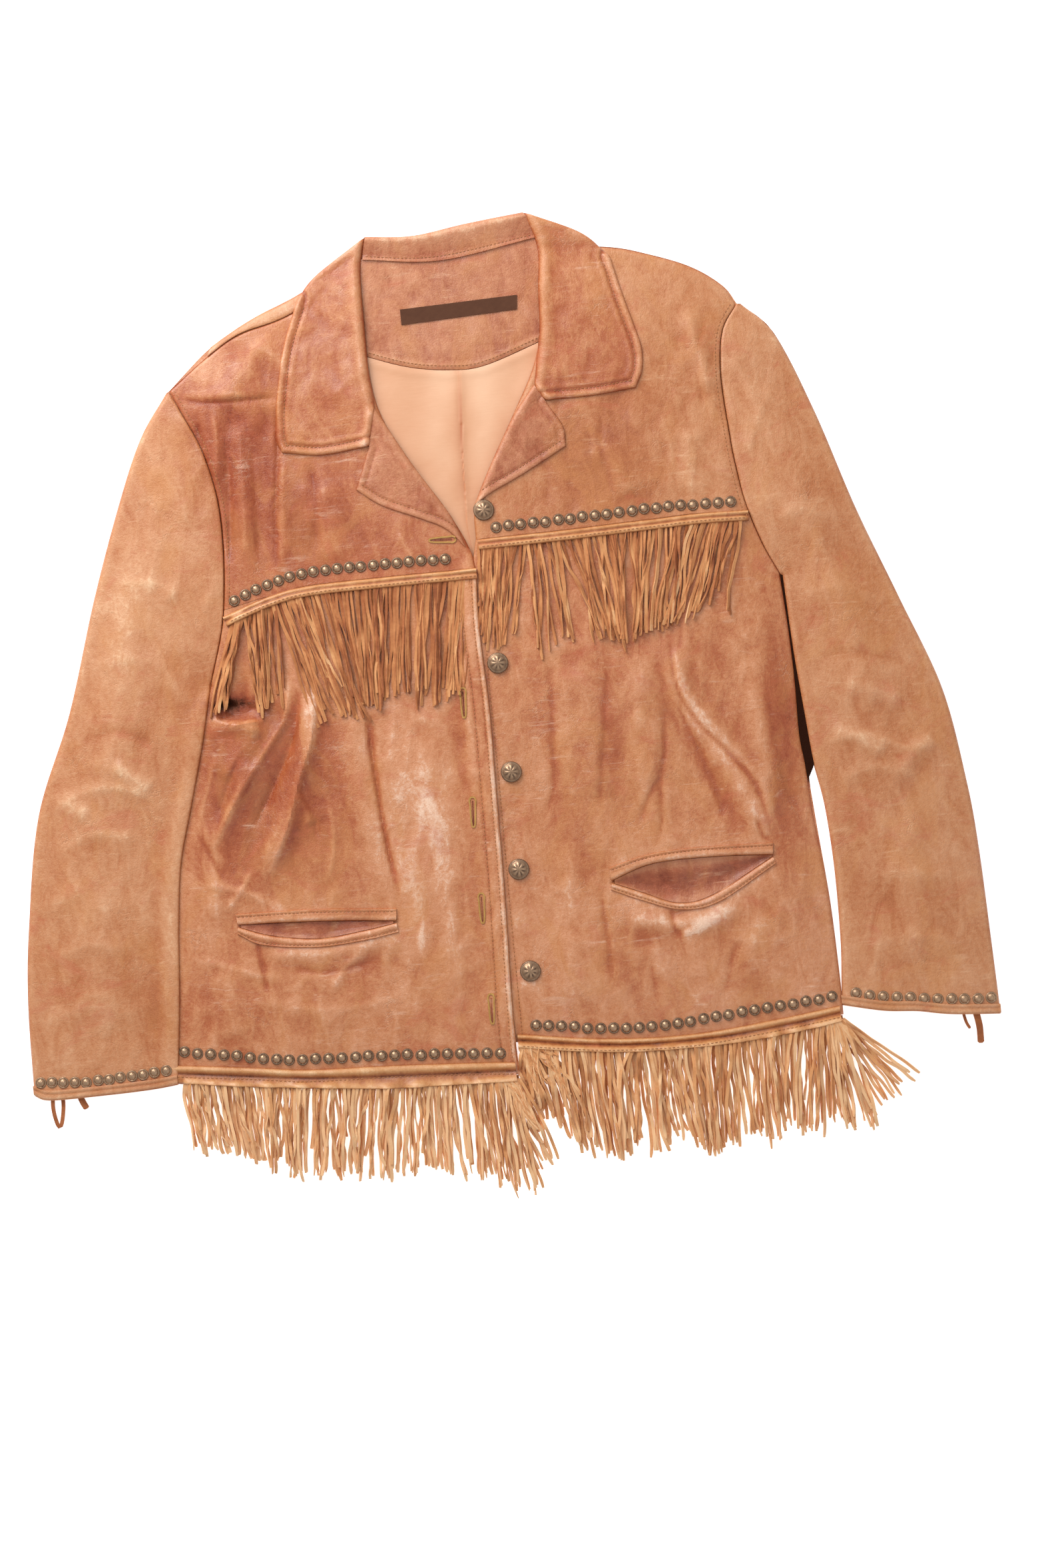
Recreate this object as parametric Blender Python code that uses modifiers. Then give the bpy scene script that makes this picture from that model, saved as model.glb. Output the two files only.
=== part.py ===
"""A fringed and studded leather jacket, laid flat on its back.

X runs across the jacket (the wearer's left is +X), Y up the centre back, Z off the surface.
Tables are in millimetres, each row one point of an edge or one fold, and are turned into metres
when a mesh is made. Every cut piece is a wall of leather of its own. The pieces are made from the
bottom up, and each is let down on what already lies there, so it follows the folds beneath it.
"""
import math
import random

import bmesh
import bpy
import numpy as np
from mathutils import Vector
from mathutils.bvhtree import BVHTree

MM = 0.001
LEATHER = 1.4          # thickness of a leather panel
STRIP = 1.2            # thickness of the piping strips and the fringe leather
SATIN = 0.9            # thickness of the lining
SEAM = 0.3             # clearance between pieces that are sewn or lie together
FLOOR_GAP = 0.4        # the fringe ends this far above the surface
LOW = 3.1              # top of a panel along its folded or sewn outer edges
CROWN = 4.3            # how far the fronts rise inside those edges
SLEEVE_CROWN = 3.6
FOLD_DEPTH = 1.35      # scales every fold's height
EDGE_ROLL = 26.0       # width over which an edge rises
STUD_R = 4.8
STUD_H = 2.5
BUTTON_R = 8.8
BUTTON_H = 4.6
HEADER = 6.0           # width of the strip that holds the fringe
BAND_CHEST = 9.0

# Edges of the pieces: x, y
SLEEVE_R_OUTER = [(-410, -292), (-408, -215), (-401, -150), (-384, -58), (-350, 25),
                  (-320, 119), (-291, 198), (-268, 250), (-243, 286)]
SLEEVE_R_INNER = [(-288, -294), (-280, -223), (-275, -165), (-268, -110), (-254, -60),
                  (-240, -10), (-229, 37)]
ARMHOLE_R = [(-229, 37), (-217, 75), (-211, 104), (-207, 150), (-208, 194), (-217, 235),
             (-229, 263), (-240, 287)]
CUFF_R = [(-410, -292), (-396, -297), (-350, -297), (-310, -296), (-288, -294)]
SIDE_R = [(-292, -296), (-288, -222), (-281, -166), (-273, -111), (-262, -72), (-251, -29),
          (-241, 10), (-229, 37)]
SLEEVE_L_OUTER = [(407, -301), (405, -240), (402, -160), (397, -102), (384, -23), (355, 57),
                  (326, 135), (299, 220), (272, 287), (246, 315)]
SLEEVE_L_INNER = [(279, -283), (283, -257), (281, -223), (279, -165), (276, -113), (270, -75),
                  (266, -30), (262, 20), (259, 84)]
ARMHOLE_L = [(257.5, 84), (245, 111), (234, 145), (228, 180), (225, 214), (223, 258),
             (228, 293), (242, 315)]
CUFF_L = [(279, -283), (309, -289), (337, -292), (364, -297), (407, -301)]
SIDE_L = [(275, -289), (275, -256), (273, -193), (268, -130), (264, -78), (261, -51),
          (261, -10), (260, 38), (257.5, 84)]
FRONT_EDGE_R = [(-2, -310), (-2, -263), (1, -157), (2, -82), (3, -5), (1, 63), (3, 114)]
FRONT_EDGE_L = [(-9, -283), (-9, -180), (-8, -60), (-8, 40), (-3, 100), (5, 138)]
YOKE_LINE_R = [(-213, 94), (-174, 107), (-138, 113), (-70, 114), (3, 114)]
YOKE_LINE_L = [(5, 138), (79, 139), (153, 141), (191, 142), (235, 141)]
NECK_R = [(3, 114), (-1, 131), (-14, 159), (-43, 205), (-66, 255), (-72, 306), (-73, 345),
          (-75, 372)]
NECK_L = [(5, 138), (7, 165), (22, 197), (46, 239), (66, 276), (76, 308), (78, 340), (80, 378)]
SHOULDER_R = [(-240, 287), (-205, 313), (-177, 329), (-134, 341), (-75, 372)]
SHOULDER_FOLD_R = [(-240, 288), (-202, 321), (-166, 341), (-129, 356), (-76, 383)]
SHOULDER_L = [(242, 315), (232, 331), (208, 349), (174, 363), (138, 373), (80, 378)]
NECK_SEAM = [(-76, 382), (-6, 375), (80, 386)]
COLLAR_TOP = [(-64, 401), (-23, 398), (22, 404), (71, 409)]
PIPING_R = [(-292, -277), (-222, -286), (-177, -292), (-109, -295), (-45, -299), (-1, -302)]
ROOT_R = [(-291, -293), (-230, -302), (-179, -308), (-111, -315), (-60, -317), (-1, -319)]
PIPING_L = [(0, -279), (75, -290), (149, -293), (222, -287), (275, -281)]
ROOT_L = [(0, -291), (50, -299), (99, -304), (148, -305), (196, -304), (245, -299), (275, -295)]
LEAF_R = dict(outer=[(-150, 226), (-154, 238), (-151, 268), (-141, 313), (-125, 354)],
              inner=[(-76, 225), (-69, 257), (-71, 290), (-71, 331), (-70, 372), (-64, 400)],
              bottom=[(-150, 226), (-119, 221), (-90, 223), (-76, 225)],
              top=[(-125, 354), (-108, 372), (-64, 400)])
LEAF_L = dict(outer=[(151, 252), (158, 267), (159, 286), (154, 307), (147, 334), (140, 365)],
              inner=[(74, 249), (67, 264), (75, 308), (77, 340), (80, 378), (71, 408)],
              bottom=[(151, 252), (113, 249), (74, 249)],
              top=[(140, 365), (117, 387), (71, 408)])
LAPEL_R = dict(gorge=[(-77, 223), (-69, 256)], roll=[(-3, 131), (-14, 160), (-42, 206), (-69, 256)],
               outer=[(-91, 189), (-77, 223)],
               lower=[(-91, 189), (-71, 174), (-40, 160), (-19, 149), (-3, 131)])
LAPEL_L = dict(gorge=[(75, 247), (66, 263)], roll=[(6, 166), (22, 197), (46, 238), (66, 263)],
               outer=[(88, 209), (87, 226), (75, 247)],
               lower=[(88, 209), (50, 189), (22, 176), (6, 166)])
FACING_ARC = [(-78, 303), (-39, 289), (-4, 283), (27, 284), (82, 302)]
LINING_SIDES = dict(right=[(-4, 106), (-24, 160), (-56, 210), (-79, 302)],
                    left=[(16, 106), (26, 180), (58, 235), (83, 301)])
LABEL = [(-40, 324), (58, 328), (59, 340), (-40, 337)]

# Folds: points along the fold, half width, height (a trough where negative)
FOLDS_R = [
    ([(-146, 32), (-157, -25), (-171, -63), (-194, -111), (-203, -128)], 13, 4.5),
    ([(-162, 30), (-174, -25), (-190, -66), (-212, -114)], 10, -2.0),
    ([(-190, 3), (-208, -20), (-227, -42)], 10, 3.6),
    ([(-200, -24), (-226, -76), (-238, -100)], 9, 3.0),
    ([(-254, -77), (-240, -107), (-244, -160)], 9, 2.6),
    ([(-99, 0), (-100, -48), (-96, -103), (-90, -153)], 6, -1.4),
    ([(-110, 10), (-113, -50), (-108, -110)], 12, 1.6),
    ([(-164, -60), (-154, -88)], 9, 2.0),
    ([(-236, 2), (-212, 0), (-189, -3)], 6, 3.4),
    ([(-226, 22), (-198, 20)], 12, -3.0),
    ([(-226, -162), (-162, -172), (-94, -170)], 7, -2.4),
    ([(-205, -192), (-150, -196), (-100, -190)], 8, 1.8),
    ([(-60, -20), (-48, -130), (-52, -240)], 16, 1.4),
    ([(-240, -200), (-236, -262)], 12, 1.6),
    ([(-189, 275), (-198, 205), (-202, 136)], 8, -1.8),
    ([(-159, 272), (-170, 200), (-173, 133)], 8, -1.5),
    ([(-203, 272), (-179, 296), (-151, 328)], 12, 2.2),
    ([(-120, 200), (-112, 130)], 14, 1.6),
]
FOLDS_L = [
    ([(158, 32), (168, -13), (191, -51), (224, -133)], 12, 3.2),
    ([(148, 28), (154, -20), (176, -66), (204, -128)], 10, -1.6),
    ([(82, 35), (86, -30), (87, -89)], 18, 2.4),
    ([(133, 30), (126, -40), (121, -92)], 15, 1.8),
    ([(236, 66), (232, -40), (224, -131)], 14, 2.2),
    ([(92, -158), (130, -165), (166, -166), (226, -152)], 12, -3.0),
    ([(100, -190), (150, -200), (196, -190)], 9, 2.6),
    ([(144, -187), (152, -206)], 8, -1.6),
    ([(60, -120), (52, -200), (56, -262)], 16, 1.4),
    ([(200, 317), (206, 280), (213, 240)], 8, 2.2),
    ([(120, 210), (136, 160)], 14, 1.4),
    ([(192, 215), (188, 158)], 10, 1.6),
]
FOLDS_SLEEVE_R = [
    ([(-318, -22), (-285, -45)], 8, 1.6),
    ([(-376, -40), (-340, -62)], 9, 1.8),
    ([(-392, -140), (-350, -120)], 12, 1.4),
    ([(-262, 180), (-300, 60), (-330, -60)], 22, 1.6),
    ([(-340, -120), (-350, -250)], 20, 1.4),
]
FOLDS_SLEEVE_L = [
    ([(288, -47), (331, -73)], 8, 1.8),
    ([(300, -10), (350, -30)], 10, 1.4),
    ([(372, -60), (340, -90)], 9, 1.6),
    ([(262, 210), (300, 80), (330, -40)], 22, 1.6),
    ([(340, -120), (345, -250)], 20, 1.4),
]

# Fringe locks: first root, last root, first tip, last tip (x), first and last tip (y), strands
CHEST_LOCKS_R = [
    (-209, -199, -228, -220, 14, 10, 3), (-197, -171, -196, -184, 9, 5, 5),
    (-168, -108, -130, -103, -4, -7, 12), (-104, -46, -99, -80, 6, 5, 10),
    (-42, 0, -44, -27, -3, 2, 8),
]
CHEST_LOCKS_L = [
    (9, 45, 3, 24, 49, 45, 7), (51, 74, 50, 77, 50, 38, 5), (79, 92, 96, 106, 45, 45, 3),
    (96, 149, 111, 134, 42, 40, 10), (154, 190, 154, 180, 49, 62, 7),
    (194, 226, 186, 209, 54, 50, 6),
]
HEM_LOCKS_R = [
    (-284, -262, -272, -254, -352, -356, 5), (-257, -226, -238, -214, -365, -372, 5),
    (-221, -196, -207, -187, -380, -378, 5), (-191, -160, -168, -146, -379, -386, 6),
    (-155, -122, -132, -104, -388, -395, 6), (-117, -88, -92, -72, -386, -392, 6),
    (-83, -52, -58, -36, -393, -396, 5), (-47, -5, -28, 3, -391, -410, 7),
]
HEM_LOCKS_L = [
    (3, 18, 13, 24, -322, -340, 3), (22, 52, 30, 52, -364, -384, 5),
    (57, 84, 62, 84, -390, -393, 6), (89, 112, 100, 112, -391, -386, 4),
    (117, 148, 128, 154, -386, -396, 6), (153, 182, 162, 184, -388, -386, 5),
    (187, 216, 195, 222, -390, -384, 5), (221, 250, 240, 268, -388, -384, 6),
    (255, 272, 292, 328, -380, -350, 4),
]
# Stud rows: points along the row, number of studs
STUD_ROWS = dict(
    studs_chest_right=([(-202, 107), (-174, 117), (-138, 124), (-70, 125), (-22, 124)], 19),
    studs_chest_left=([(23, 147), (90, 148), (160, 150), (221, 149)], 20),
    studs_hem_right=([(-280, -267), (-188, -282), (-109, -286), (-16, -293)], 25),
    studs_hem_left=([(16, -273), (100, -283), (184, -279), (266, -273)], 24),
    studs_cuff_right=([(-403, -281), (-369, -284), (-327, -283), (-297, -281)], 12),
    studs_cuff_left=([(287, -272), (317, -278), (357, -283), (400, -287)], 11),
)
BUTTONS = [(14, 162), (13.5, 33), (16, -59), (14.5, -141), (16, -227)]
POCKETS = dict(
    right=dict(upper=[(-226, -156), (-161, -158), (-91, -164)],
               mouth=[(-225, -165), (-162, -168), (-92, -174)],
               lip=[(-225, -167), (-197, -177), (-158, -183), (-120, -180), (-92, -176)],
               lower=[(-226, -173), (-205, -184), (-160, -190), (-120, -188), (-91, -184)]),
    left=dict(upper=[(90, -147), (124, -139), (164, -137), (229, -139)],
              mouth=[(91, -158), (127, -147), (177, -146), (228, -149)],
              lip=[(91, -160), (115, -170), (145, -182), (175, -178), (228, -151)],
              lower=[(90, -166), (115, -177), (147, -188), (180, -184), (230, -157)]),
)
CUFF_TAILS = dict(
    cuff_tail_right_loop=[(-393, -284), (-396, -308), (-393, -321), (-387, -320), (-385, -309)],
    cuff_tail_right_end=[(-373, -284), (-371, -298), (-367, -307)],
    cuff_tail_left_end=[(384, -288), (388, -308), (395, -324)],
    cuff_tail_left_stub=[(374, -288), (377, -304), (380, -311)],
)


def linear(value):
    value = value / 255
    if value <= 0.04045:
        return value / 12.92
    return ((value + 0.055) / 1.055) ** 2.4


def material(name, rgb, roughness, metallic=0.0):
    mat = bpy.data.materials.new(name)
    mat.use_nodes = True
    shader = mat.node_tree.nodes["Principled BSDF"]
    shader.inputs["Base Color"].default_value = (*[linear(c) for c in rgb], 1.0)
    shader.inputs["Roughness"].default_value = roughness
    shader.inputs["Metallic"].default_value = metallic
    return mat


def smooth(points, n):
    """The smooth curve through the points, at n + 1 places an equal length apart."""
    p = np.array(points, float)
    ext = np.vstack([2 * p[0] - p[1], p, 2 * p[-1] - p[-2]])
    t = np.linspace(0, 1, 24, endpoint=False)[:, None]
    runs = []
    for a, b, c, d in zip(ext, ext[1:], ext[2:], ext[3:]):
        runs.append(b + 0.5 * t * (c - a + t * (2 * a - 5 * b + 4 * c - d + t * (3 * (b - c) + d - a))))
    q = np.vstack(runs + [p[-1:]])
    s = np.r_[0, np.cumsum(np.linalg.norm(np.diff(q, axis=0), axis=1))]
    want = np.linspace(0, s[-1], n + 1)
    return np.column_stack([np.interp(want, s, q[:, 0]), np.interp(want, s, q[:, 1])])


def shifted(points, dx, dy):
    return [(x + dx, y + dy) for x, y in points]


def patch(south, north, west, east):
    """Grid of points between four edges that meet at their corners."""
    u = np.linspace(0, 1, len(south))[None, :, None]
    v = np.linspace(0, 1, len(west))[:, None, None]
    s, n, w, e = south[None], north[None], west[:, None], east[:, None]
    corners = (1 - v) * ((1 - u) * s[:, :1] + u * s[:, -1:])
    corners = corners + v * ((1 - u) * n[:, :1] + u * n[:, -1:])
    return (1 - v) * s + v * n + (1 - u) * w + u * e - corners


def distance(xy, line):
    """Distance from each point to a broken line, and how far along it (0 to 1) that is."""
    best = np.full(xy.shape[:-1], 1e9)
    place = np.zeros(xy.shape[:-1])
    line = np.array(line, float)
    lengths = np.linalg.norm(np.diff(line, axis=0), axis=1)
    start = 0.0
    for a, b, length in zip(line, line[1:], lengths):
        t = np.clip(((xy - a) @ (b - a)) / length ** 2, 0, 1)
        d = np.linalg.norm(xy - a - t[..., None] * (b - a), axis=-1)
        closer = d < best
        best = np.where(closer, d, best)
        place = np.where(closer, (start + t * length) / lengths.sum(), place)
        start += length
    return best, place


def folds(xy, table):
    z = np.zeros(xy.shape[:-1])
    for line, half, height in table:
        d, t = distance(xy, line)
        fade = np.clip(np.minimum(t, 1 - t) * 5 + 0.35, 0, 1)
        z += FOLD_DEPTH * height * fade * np.exp(-(d / half) ** 2)
    return z


def rise(xy, lines, width):
    """0 on the given edges, up to 1 well inside them."""
    d = np.min([distance(xy, smooth(line, 24))[0] for line in lines], axis=0)
    return 1 - np.exp(-(d / width) ** 1.3)


def body_height(xy, right):
    if right:
        edges, arm, table = [SIDE_R, ROOT_R, SHOULDER_FOLD_R], ARMHOLE_R, FOLDS_R
    else:
        edges, arm, table = [SIDE_L, ROOT_L, SHOULDER_L], ARMHOLE_L, FOLDS_L
    up = rise(xy, edges, EDGE_ROLL)
    groove = 1.2 * np.exp(-(distance(xy, arm)[0] / 9) ** 2)
    return LOW + up * (CROWN - groove + folds(xy, table))


def sleeve_height(xy, right):
    if right:
        edges, arm, table = [SLEEVE_R_OUTER, SLEEVE_R_INNER], ARMHOLE_R, FOLDS_SLEEVE_R
    else:
        edges, arm, table = [SLEEVE_L_OUTER, SLEEVE_L_INNER], ARMHOLE_L, FOLDS_SLEEVE_L
    up = rise(xy, edges, EDGE_ROLL)
    groove = 1.2 * np.exp(-(distance(xy, arm)[0] / 9) ** 2)
    return LOW + up * (SLEEVE_CROWN - groove + folds(xy, table))


class Pile:
    """What lies on the surface so far, to let the next piece down on it."""

    def __init__(self):
        self.points = []
        self.faces = []
        self.edges = []
        self.tree = None

    def add(self, mesh):
        first = len(self.points)
        mesh.calc_loop_triangles()
        self.points += [v.co.copy() for v in mesh.vertices]
        self.faces += [[first + i for i in t.vertices] for t in mesh.loop_triangles]
        self.edges += [[first + i for i in e.vertices] for e in mesh.edges]
        self.tree = None

    def top(self, x, y):
        """Height of what lies at x, y (mm), or zero."""
        if self.tree is None and self.points:
            self.tree = BVHTree.FromPolygons(self.points, self.faces)
        if self.tree is None:
            return 0.0
        hit = self.tree.ray_cast(Vector((x * MM, y * MM, 0.2)), Vector((0, 0, -1)))[0]
        return 0.0 if hit is None else hit.z / MM

    def lay(self, xy, z, tris, gap=0.42):
        """Let a triangle mesh down until it clears the pile by the gap."""
        n = 3
        weights = [(i / n, j / n, (n - i - j) / n) for i in range(n + 1) for j in range(n + 1 - i)]
        weights = np.array(weights)
        tris = np.array(tris)
        spots = np.einsum("ws,tsk->twk", weights, xy[tris]).reshape(-1, 2)
        who = [np.repeat(tris, len(weights), axis=0)]
        share = [np.tile(weights, (len(tris), 1))]
        need = [np.array([self.top(x, y) for x, y in spots])]
        corners = np.array([(v.x / MM, v.y / MM, v.z / MM) for v in self.points])
        for t, (a, b, c) in zip(tris, xy[tris]):
            m = np.array([[a[0] - c[0], b[0] - c[0]], [a[1] - c[1], b[1] - c[1]]])
            if not len(corners) or abs(np.linalg.det(m)) < 1e-9:
                continue
            w = np.linalg.solve(m, (corners[:, :2] - c).T).T
            w = np.column_stack([w, 1 - w.sum(1)])
            inside = (w > -1e-6).all(1)
            who.append(np.repeat(t[None], inside.sum(), axis=0))
            share.append(np.clip(w[inside], 0, 1))
            need.append(corners[inside, 2])
        # Where an edge of this piece crosses an edge of what lies below.
        ends = corners[np.array(self.edges, int).reshape(-1, 2)] if self.edges else np.zeros((0, 2, 3))
        low, high = xy.min(0) - 1, xy.max(0) + 1
        near = (ends[:, :, :2].max(1) > low).all(1) & (ends[:, :, :2].min(1) < high).all(1)
        a, d = ends[near, 0], ends[near, 1] - ends[near, 0]
        sides = {tuple(sorted(pair)) for t in tris for pair in ((t[0], t[1]), (t[1], t[2]), (t[2], t[0]))}
        for i, j in sorted(sides):
            px, py = xy[i]
            dx, dy = xy[j] - xy[i]
            cross = dx * d[:, 1] - dy * d[:, 0]
            ok = np.abs(cross) > 1e-9
            safe = np.where(ok, cross, 1.0)
            t = ((a[:, 0] - px) * d[:, 1] - (a[:, 1] - py) * d[:, 0]) / safe
            s = ((a[:, 0] - px) * dy - (a[:, 1] - py) * dx) / safe
            hit = ok & (t >= 0) & (t <= 1) & (s >= 0) & (s <= 1)
            if hit.any():
                who.append(np.tile([i, j, j], (int(hit.sum()), 1)))
                share.append(np.column_stack([1 - t[hit], t[hit], 0 * t[hit]]))
                need.append(a[hit, 2] + s[hit] * d[hit, 2])
        return settle(z, np.vstack(who), np.vstack(share), np.concatenate(need) + gap)


def settle(z, who, share, need, fixed=()):
    """The lowest heights, from z up, at which every spot is as high as it needs to be.

    A spot's height is shared out among its corners: who they are, and how much each counts.
    """
    least = np.array(z, float)
    z = least.copy()
    free = np.ones(len(z))
    free[list(fixed)] = 0
    for _ in range(200):
        lack = np.clip(need - (z[who] * share).sum(1), 0, None)
        if lack.max() < 1e-4:
            break
        weight = share * free[who]
        step = lack[:, None] * weight / np.maximum((weight ** 2).sum(1, keepdims=True), 0.02)
        up = np.zeros(len(z))
        np.maximum.at(up, who.ravel(), step.ravel())
        z += up
    slack = (z[who] * share).sum(1) - need
    rows = [np.nonzero((who == k) & (share > 1e-6)) for k in range(len(z))]
    for _ in range(12):
        for k, (row, column) in enumerate(rows):
            room = z[k] - least[k]
            if room <= 1e-4 or not free[k]:
                continue
            part = share[row, column]
            drop = min(room, 0.6 * float(np.min(np.clip(slack[row], 0, None) / part))) if len(row) else room
            z[k] -= drop
            slack[row] -= part * drop
    return z


PILE = Pile()
bpy_objects = list(bpy.data.objects)
for old in bpy_objects:
    bpy.data.objects.remove(old, do_unlink=True)
JACKET = bpy.data.collections.new("studded_leather_jacket")
bpy.context.scene.collection.children.link(JACKET)

TAN = material("tan_leather", (200, 134, 96), 0.55)
GOLDEN = material("sleeve_leather", (206, 144, 104), 0.52)
RUSSET = material("facing_leather", (192, 122, 92), 0.55)
CORD = material("fringe_leather", (206, 150, 100), 0.7)
PIPING = material("piping_leather", (214, 152, 104), 0.55)
PEACH = material("satin_lining", (244, 188, 150), 0.35)
LABEL_BROWN = material("label_cloth", (92, 60, 44), 0.8)
METAL = material("antique_brass", (150, 128, 108), 0.35, 0.9)


def put(name, bm, mat, flat_angle=40):
    """Make the mesh an object of the jacket, and add it to the pile."""
    bmesh.ops.triangulate(bm, faces=bm.faces[:])
    bmesh.ops.recalc_face_normals(bm, faces=bm.faces[:])
    mesh = bpy.data.meshes.new(name)
    bm.to_mesh(mesh)
    bm.free()
    mesh.shade_smooth()
    mesh.set_sharp_from_angle(angle=math.radians(flat_angle))
    mesh.materials.append(mat)
    obj = bpy.data.objects.new(name, mesh)
    JACKET.objects.link(obj)
    PILE.add(mesh)
    return obj


def thicken(bm, thick):
    """Turn an open sheet into a closed wall by extruding it straight up."""
    made = bmesh.ops.extrude_face_region(bm, geom=bm.faces[:], use_keep_orig=True)
    top = [g for g in made["geom"] if isinstance(g, bmesh.types.BMVert)]
    bmesh.ops.translate(bm, verts=top, vec=(0, 0, thick * MM))


def panel(name, mat, grid, height, thick=LEATHER, lay=True):
    """A leather panel on a grid of points; height is its top before it is let down."""
    nv, nu = grid.shape[0] - 1, grid.shape[1] - 1
    bm = bmesh.new()
    bmesh.ops.create_grid(bm, x_segments=nu, y_segments=nv, size=0.5)
    bmesh.ops.triangulate(bm, faces=bm.faces[:], quad_method="FIXED")
    bm.verts.ensure_lookup_table()
    cells = [(round((v.co.y + 0.5) * nv), round((v.co.x + 0.5) * nu)) for v in bm.verts]
    xy = np.array([grid[c] for c in cells])
    tops = np.broadcast_to(np.asarray(height, float), grid.shape[:2])
    z = np.array([tops[c] for c in cells]) - thick
    tris = [[v.index for v in f.verts] for f in bm.faces]
    if lay:
        z = PILE.lay(xy, z, tris)
    for v, (x, y), h in zip(bm.verts, xy, z):
        v.co = (x * MM, y * MM, h * MM)
    thicken(bm, thick)
    return put(name, bm, mat)


def flat(name, mat, outline, bottom, thick):
    """A flat piece with the given outline."""
    bm = bmesh.new()
    verts = [bm.verts.new((x * MM, y * MM, bottom * MM)) for x, y in outline]
    bm.faces.new(verts)
    thicken(bm, thick)
    return put(name, bm, mat)


def join(*runs):
    """One closed outline from runs of points that meet end to end."""
    out = []
    for run in runs:
        for p in run:
            if not out or np.linalg.norm(np.subtract(p, out[-1])) > 0.5:
                out.append((float(p[0]), float(p[1])))
    if np.linalg.norm(np.subtract(out[0], out[-1])) < 0.5:
        out.pop()
    return out


def strip(line, width, n):
    """Grid one cell wide below a line, as long as the line."""
    a = smooth(line, n)
    along = np.gradient(a, axis=0)
    along /= np.linalg.norm(along, axis=1)[:, None]
    down = np.column_stack([along[:, 1], -along[:, 0]])
    return np.stack([a + down * width, a])


def between(low, high, n):
    """Grid one cell wide between two lines."""
    return np.stack([smooth(low, n), smooth(high, n)])


# Armholes are shared by the sleeve, the yoke, the front and the back, point for point.
ARM_R = smooth(ARMHOLE_R, 12)
ARM_L = smooth(ARMHOLE_L, 12)
SPLIT_R = 3
SPLIT_L = 3
BOTTOM_R = smooth(shifted(ROOT_R, 0, HEADER + SEAM), 12)
BOTTOM_L = smooth(shifted(ROOT_L, 0, HEADER + SEAM), 12)
side_r = smooth([tuple(BOTTOM_R[0])] + SIDE_R[1:], 11)
side_l = smooth([tuple(BOTTOM_L[-1])] + SIDE_L[1:], 11)
yoke_r = smooth([tuple(ARM_R[SPLIT_R])] + YOKE_LINE_R[1:], 12)
yoke_l = smooth(YOKE_LINE_L[:-1] + [tuple(ARM_L[SPLIT_L])], 12)
edge_l_low = [(-9, float(BOTTOM_L[0][1]))] + FRONT_EDGE_L[1:]
bottom_l = smooth([(-9, float(BOTTOM_L[0][1]))] + [tuple(p) for p in BOTTOM_L[1:]], 12)

# The back, and the undersides of the sleeves, lie flat on the surface.
flat("back_panel", TAN, join(
    BOTTOM_R, bottom_l, side_l, ARM_L[1:], smooth(SHOULDER_L, 8)[1:], smooth(NECK_SEAM, 6)[::-1],
    smooth(SHOULDER_FOLD_R, 8)[::-1], ARM_R[::-1][1:], side_r[::-1][1:]), 0, LEATHER)
arm_r_out = ARM_R - [0.45, 0]
arm_l_out = ARM_L + [0.45, 0]
under_r_in = smooth([(-292.6, -294), (-288.6, -222), (-281.6, -166), (-273.6, -111), (-262.6, -72),
                     (-251.6, -29), (-241.6, 10), (-229.6, 37)], 24)
flat("sleeve_under_right", GOLDEN, join(
    smooth(SLEEVE_R_OUTER, 16)[::-1], smooth(CUFF_R[:-1] + [(-293, -295)], 6)[1:],
    under_r_in[1:-1] - [0.5, 0], arm_r_out), 0, LEATHER)
flat("sleeve_under_left", GOLDEN, join(
    smooth(SLEEVE_L_OUTER, 16), arm_l_out[::-1], smooth(SLEEVE_L_INNER, 12)[::-1][1:],
    smooth(CUFF_L, 6)[1:]), 0, LEATHER)

# What shows inside the neck.
arc = smooth(FACING_ARC, 8)
panel("neck_facing", RUSSET, patch(
    arc, smooth(shifted(NECK_SEAM, 0, -0.6), 8), smooth([(-78, 303), (-82, 350), (-76, 381.4)], 4),
    smooth([(82, 302), (86, 350), (80, 385.4)], 4)), LEATHER + SEAM + LEATHER)
lining = patch(smooth([(-4, 106), (16, 106)], 8), smooth(shifted(FACING_ARC, 0, -0.6), 8),
               smooth(LINING_SIDES["right"][:-1] + [(-78, 302.4)], 8),
               smooth(LINING_SIDES["left"][:-1] + [(82, 301.4)], 8))
pleat = np.zeros(lining.shape[:2])
pleat[:, 4] = 0.9
panel("back_lining", PEACH, lining, LEATHER + SEAM + SATIN + pleat, SATIN)
flat("neck_label", LABEL_BROWN, LABEL, LEATHER + SEAM + LEATHER + 0.45, 0.6)
panel("collar_fall_back", TAN, patch(
    smooth(shifted(NECK_SEAM, 0, 0.5), 6), smooth(COLLAR_TOP, 6), smooth([(-76, 382.5), (-64, 401)], 2),
    smooth([(80, 386.5), (71, 409)], 2)), LEATHER, lay=False)

# The left front and its yoke, then the right ones over them.
front_l = patch(bottom_l, yoke_l, smooth(edge_l_low, 14), np.vstack([side_l, ARM_L[1:SPLIT_L + 1]]))
panel("front_left", TAN, front_l, body_height(front_l, False))
yoke_grid_l = patch(yoke_l + [0, SEAM], smooth(SHOULDER_L[::-1], 12), smooth(shifted(NECK_L, 0, SEAM), 9),
                    ARM_L[SPLIT_L:] + [0, SEAM])
panel("yoke_left", TAN, yoke_grid_l, body_height(yoke_grid_l, False))
front_r = patch(BOTTOM_R, yoke_r, np.vstack([side_r, ARM_R[1:SPLIT_R + 1]]), smooth(
    [tuple(BOTTOM_R[-1])] + FRONT_EDGE_R[1:], 14))
panel("front_right", TAN, front_r, body_height(front_r, True))
yoke_grid_r = patch(yoke_r + [0, SEAM], smooth(SHOULDER_R, 12), ARM_R[SPLIT_R:] + [0, SEAM],
                    smooth(shifted(NECK_R, 0, SEAM), 9))
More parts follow.
